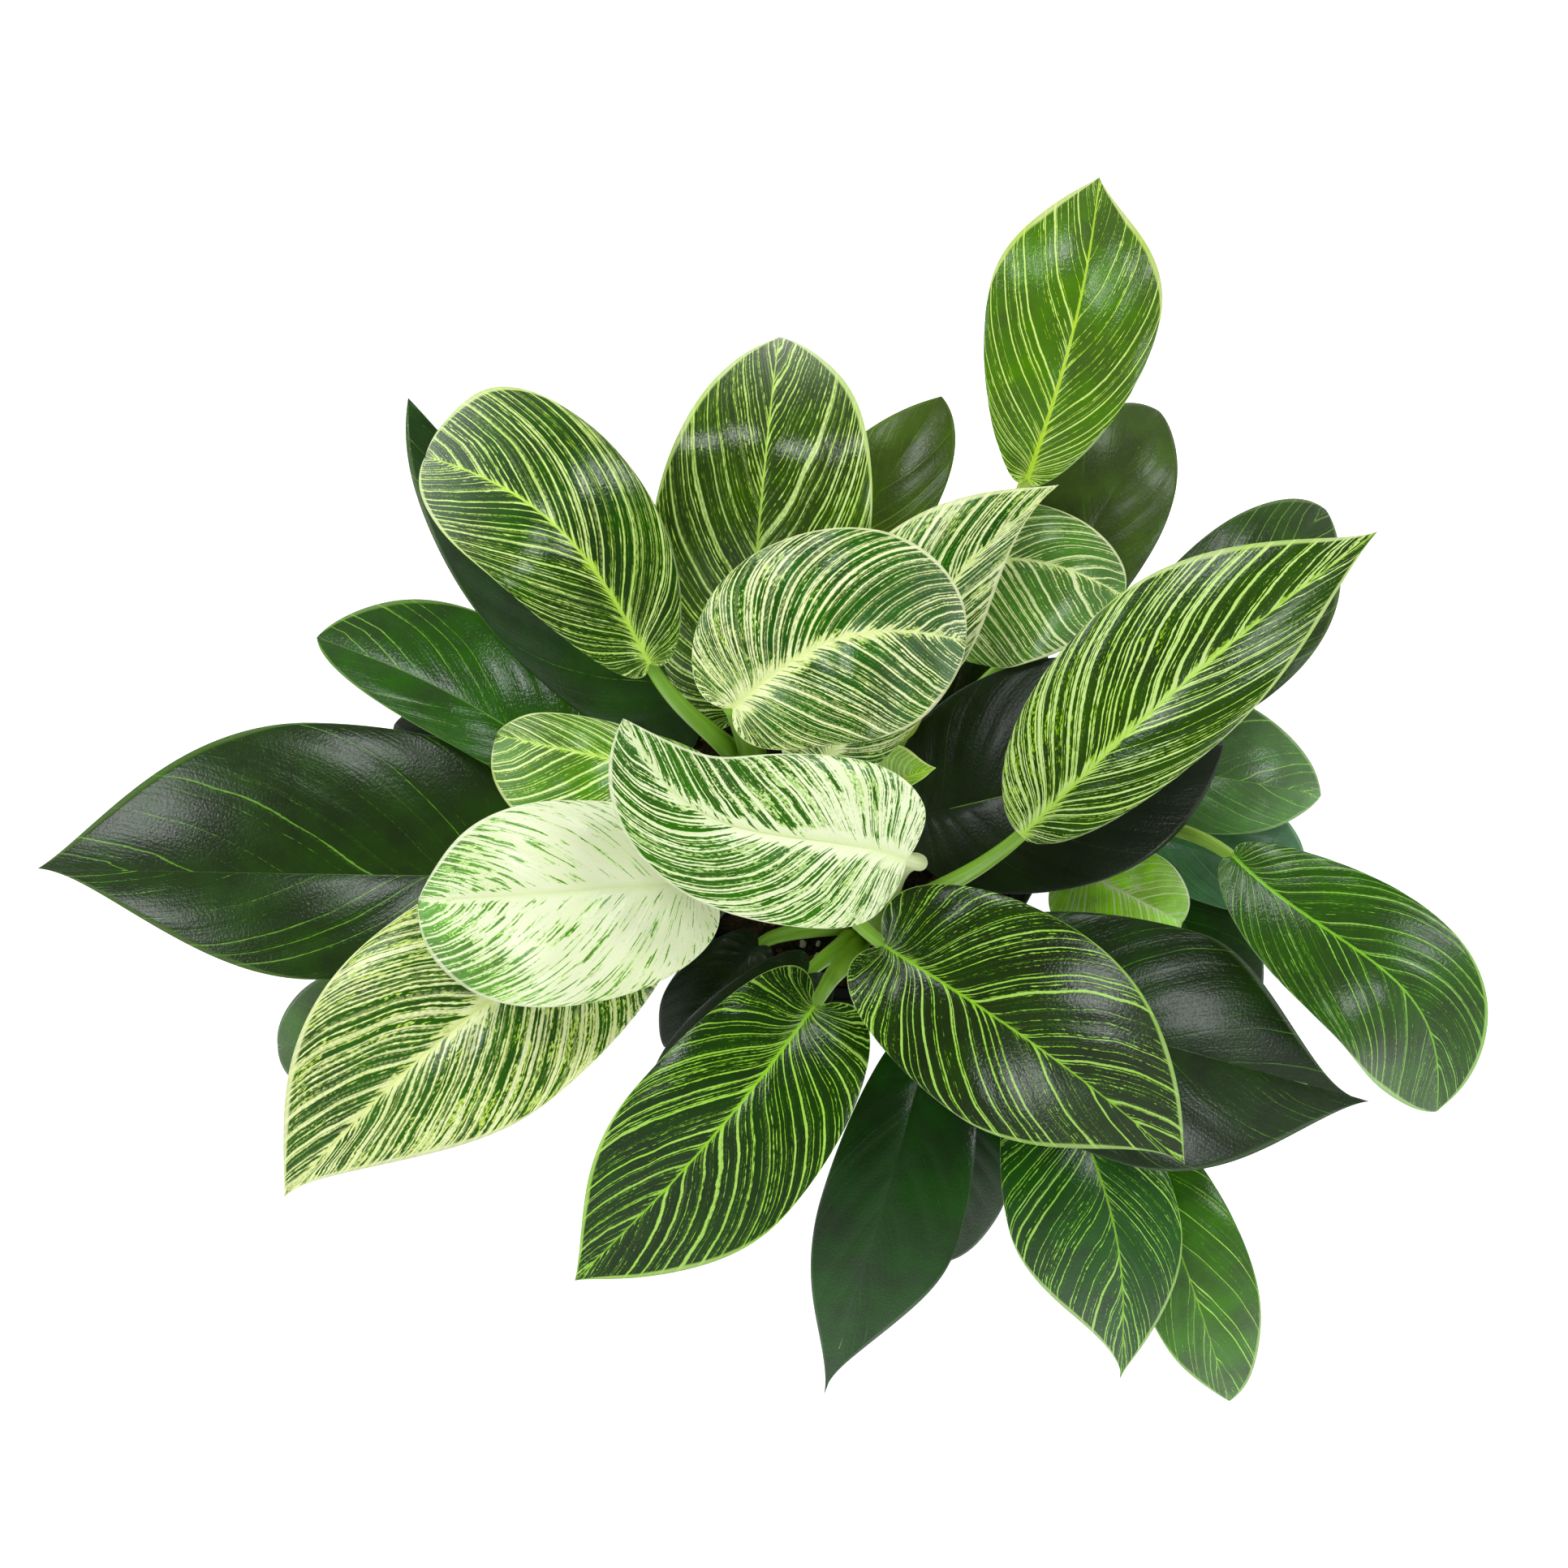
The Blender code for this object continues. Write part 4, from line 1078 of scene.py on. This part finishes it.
class PLANT_OT_stems(bpy.types.Operator):
    """Make the three short stems with their leaf scars and dry sheaths"""

    bl_idname = "plant.stems"
    bl_label = "Make stems"

    def execute(self, context):
        skin, paper = stem_material(), sheath_material()
        tree = scar_tree(skin)
        for i, key in enumerate(STEMS):
            put(stem_body(key, skin), "stem_green", f"stem_{key}")
            put(stem_scars(key, tree), "stem_green")
            put(dry_sheaths(key, paper, SHEATH_START + SHEATH_STEM_TURN * i), "stem_green")
        return {"FINISHED"}


# ---- potting mix

# The hole left in the middle of the surface's rings, as a share of one ring's width
RING_CORE = 0.02
# Lumps of the closed body's top: their height, and how often they come in a millimetre
CRUMB_RISE = 1.1
CRUMB_RATE = 0.22
# The bed that grains lie on: above the mix's level, and clear of the wall
GRAIN_BED_RISE = 0.5
GRAIN_WALL_GAP = 2.5


def soil_level(x, y):
    """Height of the mix's lumpy surface, as in the CAD model."""
    lumps = math.sin(x * 0.31 + 1.3) * math.cos(y * 0.27) + 0.6 * math.sin(x * 0.53 - y * 0.61)
    return SOIL_TOP + SOIL_LUMP * 0.5 * lumps - 1.2 * (math.hypot(x, y) / POT_RIM_RADIUS) ** 2


def pot_wall_radius(height):
    return POT_BASE_RADIUS + (POT_RIM_RADIUS - RIM_STEP - POT_BASE_RADIUS) * height / POT_HEIGHT


def peat_material():
    """Moist peat: nearly black brown crumbs with fibres, rough, with a faint wet gleam."""
    made, node, shader = new_material("moist peat, crumbly")
    place = node("TexCoord").outputs["Object"]
    crumbs = node("TexVoronoi", place, Scale=420.0)
    grain = node("TexNoise", place, Scale=700.0, Detail=6.0)
    patches = node("TexNoise", place, Scale=90.0, Detail=3.0)
    mixed = node("Math", grain, patches, operation="MULTIPLY")
    spread = node("MapRange", mixed, 0.12, 0.42)
    colour = node("Mix", spread, "#15100b", "#4a3624", data_type="RGBA")
    rough = node("MapRange", patches, 0.0, 1.0, 0.98, 0.7)
    height = node("Math", crumbs, 0.7, grain, operation="MULTIPLY_ADD")
    surface(node, shader, colour, height, 0.9, 0.0012, Roughness=rough, IOR=1.4)
    return made


def grain_material(name, low, high, roughness):
    """Loose grains of one kind, with each part a little lighter or darker."""
    made, node, shader = new_material(name)
    place = node("TexCoord").outputs["Object"]
    spread = node("MapRange", node("TexNoise", place, Scale=260.0, Detail=4.0), 0.35, 0.65)
    colour = node("Mix", spread, low, high, data_type="RGBA")
    fine = node("TexNoise", place, Scale=1800.0, Detail=3.0)
    surface(node, shader, colour, fine, 0.5, 0.0003, Roughness=roughness)
    return made


def grain_tree(name, finish):
    """Scatters uneven grains over a surface, turned and sized at random from a fixed seed."""
    sockets = (
        ("Density", "Float", 10000.0),
        ("Grain", "Float", 0.0016),
        ("Flatness", "Vector", (1.0, 1.0, 1.0)),
        ("Seed", "Int", 1),
    )
    tree, node, given = shape_tree(name, *sockets)
    density, grain, flatness, seed = [given.outputs[label] for label, _, _ in sockets]
    spread = dict(Mesh=given, Density=density, Seed=seed)
    spots = node("GeometryNodeDistributePointsOnFaces", **spread)
    ball = node("GeometryNodeMeshIcoSphere", Radius=grain, Subdivisions=2)
    shaped = node("GeometryNodeTransform", Geometry=ball, Scale=flatness)
    turn, size = [
        node(
            "FunctionNodeRandomValue",
            data_type="FLOAT_VECTOR",
            Min=(low,) * 3,
            Max=(high,) * 3,
            Seed=seed,
        )
        for low, high in ((0.0, 6.28), (0.4, 1.3))
    ]
    placing = dict(Points=spots, Instance=shaped, Rotation=turn, Scale=size)
    real = node("GeometryNodeRealizeInstances", node("GeometryNodeInstanceOnPoints", **placing))
    # dents, from a noise whose middle is 0.5
    rough = node("TexNoise", Scale=520.0, Detail=1.0).outputs["Color"]
    dents = node("VectorMath", rough, (0.5, 0.5, 0.5), operation="SUBTRACT")
    dents = node("VectorMath", dents, 0.0022, operation="SCALE")
    end_tree(node, node("GeometryNodeSetPosition", real, Offset=dents), finish)
    return tree


def mix_rings(radius, rings, sides, lift):
    """Points of the mix's surface in rings, out to a radius, raised by a function of x and y."""
    points = []
    for j, i in product(range(rings + 1), range(sides)):
        x, y = spoke(i, sides, radius * (j + RING_CORE) / (rings + RING_CORE))
        points.append((x, y, soil_level(x, y) + lift(x, y)))
    return points


def mix_body(finish, rings=60, sides=160):
    """The mix as one closed lumpy body that fills the pot."""

    def crumb(x, y):
        place = Vector((x * CRUMB_RATE, y * CRUMB_RATE, 3.0))
        return noise.fractal(place, 0.9, 2.0, 4) * CRUMB_RISE

    floor = DRAIN_RING_RISE + POT_FLOOR + FIT_GAP
    top, low = [pot_wall_radius(level) - POT_WALL - FIT_GAP for level in (SOIL_TOP, floor)]
    points = mix_rings(top, rings, sides, crumb)
    points += [(*spoke(i, sides, low), floor) for i in range(sides)]
    faces = tube_faces(rings + 2, sides, inward=True)
    return mesh_object("mix_body", np.array(points) * MM, faces, finish)


def mix_top(name, rings=24, sides=72):
    """An open copy of the mix's surface, clear of the wall, for grains to lie on."""
    top = pot_wall_radius(SOIL_TOP) - POT_WALL - GRAIN_WALL_GAP
    points = mix_rings(top, rings, sides, lambda x, y: GRAIN_BED_RISE)
    faces = tube_faces(rings + 1, sides, inward=True)[:-2]
    return mesh_object(name, np.array(points) * MM, faces)


class MixSettings(bpy.types.PropertyGroup):
    perlite: FloatProperty(
        name="Perlite", description="Perlite grains per square metre", default=9000.0
    )
    bark: FloatProperty(name="Bark", description="Bark chips per square metre", default=14000.0)
    crumbs: FloatProperty(
        name="Crumbs", description="Peat crumbs per square metre", default=60000.0
    )
    fibre: FloatProperty(
        name="Fibre", description="Orange coir bits per square metre", default=7000.0
    )


class PLANT_OT_mix(bpy.types.Operator):
    """Make the potting mix: peat with perlite, bark chips, crumbs and coir bits"""

    bl_idname = "plant.mix"
    bl_label = "Make potting mix"

    def execute(self, context):
        settings = context.scene.plant_mix
        put(mix_body(peat_material()), "potting_mix", "soil")
        # name, tones, roughness, grains a square metre, radius in metres, flatness, seed
        kinds = (
            ("perlite", "#c9c5b8", "#f2efe6", 0.9, settings.perlite, 0.0013, (1, 0.9, 0.8), 3),
            ("bark_chips", "#3a2415", "#7a4f2c", 0.85, settings.bark, 0.0019, (1.4, 0.8, 0.4), 8),
            ("peat_crumbs", "#0f0b08", "#2e2218", 0.95, settings.crumbs, 0.0012, (1, 0.9, 0.8), 15),
            ("coir_bits", "#7a4a1e", "#b87a3a", 0.85, settings.fibre, 0.0011, (2.2, 0.5, 0.4), 21),
        )
        for name, low, high, rough, density, grain, flat, seed in kinds:
            finish = grain_material(name.replace("_", " "), low, high, rough)
            bed = mix_top(name)
            tree = grain_tree(name + "_scatter", finish)
            give_tree(bed, tree, Density=density, Grain=grain, Flatness=flat, Seed=seed)
            put(applied(bed), "potting_mix")
        return {"FINISHED"}


# ---- pot

RING_SLOPE = 1.5
GRIP_LEVEL = 30.0
GRIP_DEPTH = 0.35
SHARP_ANGLE = 38.0
HOLE_SIDES = 28
HOLE_DEPTH = 20.0


def pot_material():
    """Injection-moulded polypropylene, black: fine spark texture, faint dust, soft sheen."""
    made, node, shader = new_material("moulded polypropylene, black")
    place = node("TexCoord").outputs["Object"]
    spark = node("TexNoise", place, Scale=2200.0, Detail=2.0)
    dust = node("TexNoise", place, Scale=60.0, Detail=6.0, Roughness=0.7)
    dusty = node("MapRange", dust, 0.5, 0.8)
    colour = node("Mix", dusty, "#17181a", "#34332f", data_type="RGBA")
    rough = node("MapRange", dust, 0.0, 1.0, 0.34, 0.56)
    surface(node, shader, colour, spark, 0.3, 0.0002, Roughness=rough, IOR=1.49)
    return made


def pot_profile():
    """Half of the pot's section: radius and height, from inside its floor to under its foot."""
    rim, foot, top, floor = POT_RIM_RADIUS, POT_BASE_RADIUS, POT_HEIGHT, POT_FLOOR
    inner, outer, rise = DRAIN_RING_INNER, DRAIN_RING_OUTER, DRAIN_RING_RISE
    wall, thick, slope, band = pot_wall_radius, POT_WALL, RING_SLOPE, POT_HEIGHT - RIM_DEPTH
    grip = GRIP_LEVEL - 0.5
    return [
        # the floor inside, with its raised ring
        *((0.0, floor), (inner, floor), (inner + slope, rise + floor)),
        *((outer - slope, rise + floor), (outer, floor), (wall(floor) - thick - slope, floor)),
        # up the wall inside, and over the rounded rim
        *((wall(floor) - thick, floor + slope), (wall(band) - thick, band)),
        *((rim - thick - 0.6, band + 3.0), (rim - thick - 0.4, top - 0.8)),
        *((rim - thick * 0.75, top - 0.2), (rim - thick * 0.45, top), (rim - 0.2, top - 0.25)),
        # down the rim band, and in to the wall
        *((rim, top - 0.8), (rim - 0.35, band + 0.5), (rim - 0.7, band)),
        *((wall(band) + 0.3, band - 0.4), (wall(band), band - 1.0)),
        # the grip line, and the foot
        *((wall(GRIP_LEVEL), GRIP_LEVEL), (wall(grip) - GRIP_DEPTH, grip)),
        *((foot + 0.2, 1.6), (foot - 0.4, 0.5), (foot - 1.4, 0.0), (outer, 0.0)),
        # the underside
        *((outer - slope, rise), (inner + slope, rise), (inner, 0.0), (0.0, 0.0)),
    ]


class PotSettings(bpy.types.PropertyGroup):
    sides: IntProperty(
        name="Sides", description="Steps round the pot", default=144, min=24, max=360
    )


class PLANT_OT_pot(bpy.types.Operator):
    """Make the thin nursery pot with its rim band, raised drain ring and drain holes"""

    bl_idname = "plant.pot"
    bl_label = "Make pot"

    def execute(self, context):
        line = [(radius * MM, 0.0, height * MM) for radius, height in pot_profile()]
        edges = [(i, i + 1) for i in range(len(line) - 1)]
        pot = mesh_object("pot_wall", line, [], pot_material(), edges=edges)
        screw = pot.modifiers.new("turn", "SCREW")
        screw.steps = screw.render_steps = context.scene.plant_pot.sides
        screw.use_merge_vertices = True
        screw.merge_threshold = 0.00001
        applied(pot)
        cutters = []
        for i in range(DRAIN_HOLES):
            spot = Vector((*spoke(i, DRAIN_HOLES), 0.0)) * DRAIN_CIRCLE * MM
            size = dict(radius1=DRAIN_RADIUS * MM, radius2=DRAIN_RADIUS * MM, depth=HOLE_DEPTH * MM)
            shape = bmesh.new()
            bmesh.ops.create_cone(shape, cap_ends=True, segments=HOLE_SIDES, **size)
            bmesh.ops.translate(shape, verts=shape.verts, vec=spot)
            hole = bpy.data.meshes.new("drain")
            shape.to_mesh(hole)
            shape.free()
            cutters.append(placed("drain", hole))
            cut = pot.modifiers.new("drain", "BOOLEAN")
            cut.object = cutters[-1]
            cut.operation = "DIFFERENCE"
        applied(pot)
        for cutter in cutters:
            bpy.data.objects.remove(cutter)
        pot.data.shade_smooth()
        pot.data.set_sharp_from_angle(angle=math.radians(SHARP_ANGLE))
        put(pot, "pot_plastic", "pot")
        return {"FINISHED"}


# ---- studio

FLOOR_HALF = 4.0
FLOOR_DROP = 0.0003
SKY_COLOUR = (0.97, 0.99, 1.0, 1.0)
LAMP_COLOUR = (0.95, 0.98, 1.0)
LAMP_AIM = (0.0, 0.0, 0.2)


class StageSettings(bpy.types.PropertyGroup):
    floor: FloatVectorProperty(
        name="Floor", description="Floor colour", subtype="COLOR", size=3, default=linear("#f4f4f4")
    )
    glow: FloatProperty(
        name="Floor glow", description="Light of the lit floor itself", default=0.8
    )
    low: FloatProperty(
        name="Low sky", description="Light from all round near the floor", default=1.05
    )
    high: FloatProperty(name="High sky", description="Light from straight above", default=0.12)
    key: FloatProperty(
        name="Key",
        description="Power of each soft lamp behind and at the left",
        default=9.5,
        unit="POWER",
    )
    fill: FloatProperty(
        name="Fill", description="Power of the soft lamp at the right", default=7.5, unit="POWER"
    )


class PLANT_OT_stage(bpy.types.Operator):
    """Make the pale floor, the soft studio lights and the camera straight above"""

    bl_idname = "plant.stage"
    bl_label = "Make studio"

    def execute(self, context):
        scene, settings = context.scene, context.scene.plant_stage
        finish, node, shader = new_material("matt white studio floor")
        white = (*settings.floor, 1.0)
        node(shader, Roughness=0.9, Base_Color=white)
        node(shader, Emission_Color=white, Emission_Strength=settings.glow)
        corners = [
            (x * FLOOR_HALF, y * FLOOR_HALF, -FLOOR_DROP)
            for x, y in ((-1, -1), (1, -1), (1, 1), (-1, 1))
        ]
        mesh_object("studio_floor", corners, [(0, 1, 2, 3)], finish)
        scene.world = bpy.data.worlds.new("even_light")
        scene.world.use_nodes = True
        node = partial(add, scene.world.node_tree)
        way = node("SeparateXYZ", node("TexCoord").outputs["Generated"]).outputs["Z"]
        bright = node("MapRange", way, 0.0, 0.85, settings.low, settings.high)
        sky = scene.world.node_tree.nodes["Background"]
        node(sky, Color=SKY_COLOUR, Strength=bright)
        # name, place, size, power
        lamps = (
            ("key_softbox_right", (0.5, 0.95, 1.95), 0.45, settings.key),
            ("key_softbox_back", (-0.42, 0.68, 2.05), 0.45, settings.key),
            ("low_softbox", (-1.55, -0.15, 1.45), 0.5, settings.key),
            ("fill_softbox", (1.35, -0.77, 1.45), 0.5, settings.fill),
        )
        for name, place, size, power in lamps:
            light = bpy.data.lights.new(name, "AREA")
            light.shape, light.size = "SQUARE", size
            light.energy, light.color = power, LAMP_COLOUR
            lamp = placed(name, light)
            lamp.location = place
            way = Vector(LAMP_AIM) - Vector(place)
            lamp.rotation_euler = way.to_track_quat("-Z", "Y").to_euler()
        # unturned, a camera looks straight down, with +Y at the top of its frame
        eye = bpy.data.cameras.new("eye")
        eye.lens, eye.sensor_width = EYE_LENS, EYE_SENSOR
        eye.clip_start, eye.clip_end = 0.05, 20.0
        scene.camera = placed("eye", eye)
        scene.camera.location = Vector((EYE_X, EYE_Y, EYE_HEIGHT)) * MM
        scene.view_settings.view_transform = "Standard"
        return {"FINISHED"}


# ---- sidebar and start

SETTINGS = {
    "plant_leaves": LeafSettings,
    "plant_mix": MixSettings,
    "plant_pot": PotSettings,
    "plant_stage": StageSettings,
}
OPERATORS = (PLANT_OT_leaves, PLANT_OT_stems, PLANT_OT_mix, PLANT_OT_pot, PLANT_OT_stage)


class PLANT_PT_panel(bpy.types.Panel):
    """Lists the plant's pieces in the sidebar"""

    bl_idname = "PLANT_PT_panel"
    bl_label = "Potted plant"
    bl_space_type = "VIEW_3D"
    bl_region_type = "UI"
    bl_category = "Plant"

    def draw(self, context):
        for made in OPERATORS:
            box = self.layout.box()
            name = made.bl_idname.replace(".", "_")
            for label in getattr(SETTINGS.get(name), "__annotations__", {}):
                box.prop(getattr(context.scene, name), label)
            box.operator(made.bl_idname)


CLASSES = (*SETTINGS.values(), *OPERATORS, PLANT_PT_panel)


def register():
    for item in CLASSES:
        bpy.utils.register_class(item)
    for name, item in SETTINGS.items():
        setattr(bpy.types.Scene, name, PointerProperty(type=item))


def unregister():
    for name in SETTINGS:
        delattr(bpy.types.Scene, name)
    for item in reversed(CLASSES):
        bpy.utils.unregister_class(item)


def main():
    register()
    for name in ("leaves", "stems", "mix", "pot", "stage"):
        getattr(bpy.ops.plant, name)()


if __name__ == "__main__":
    main()
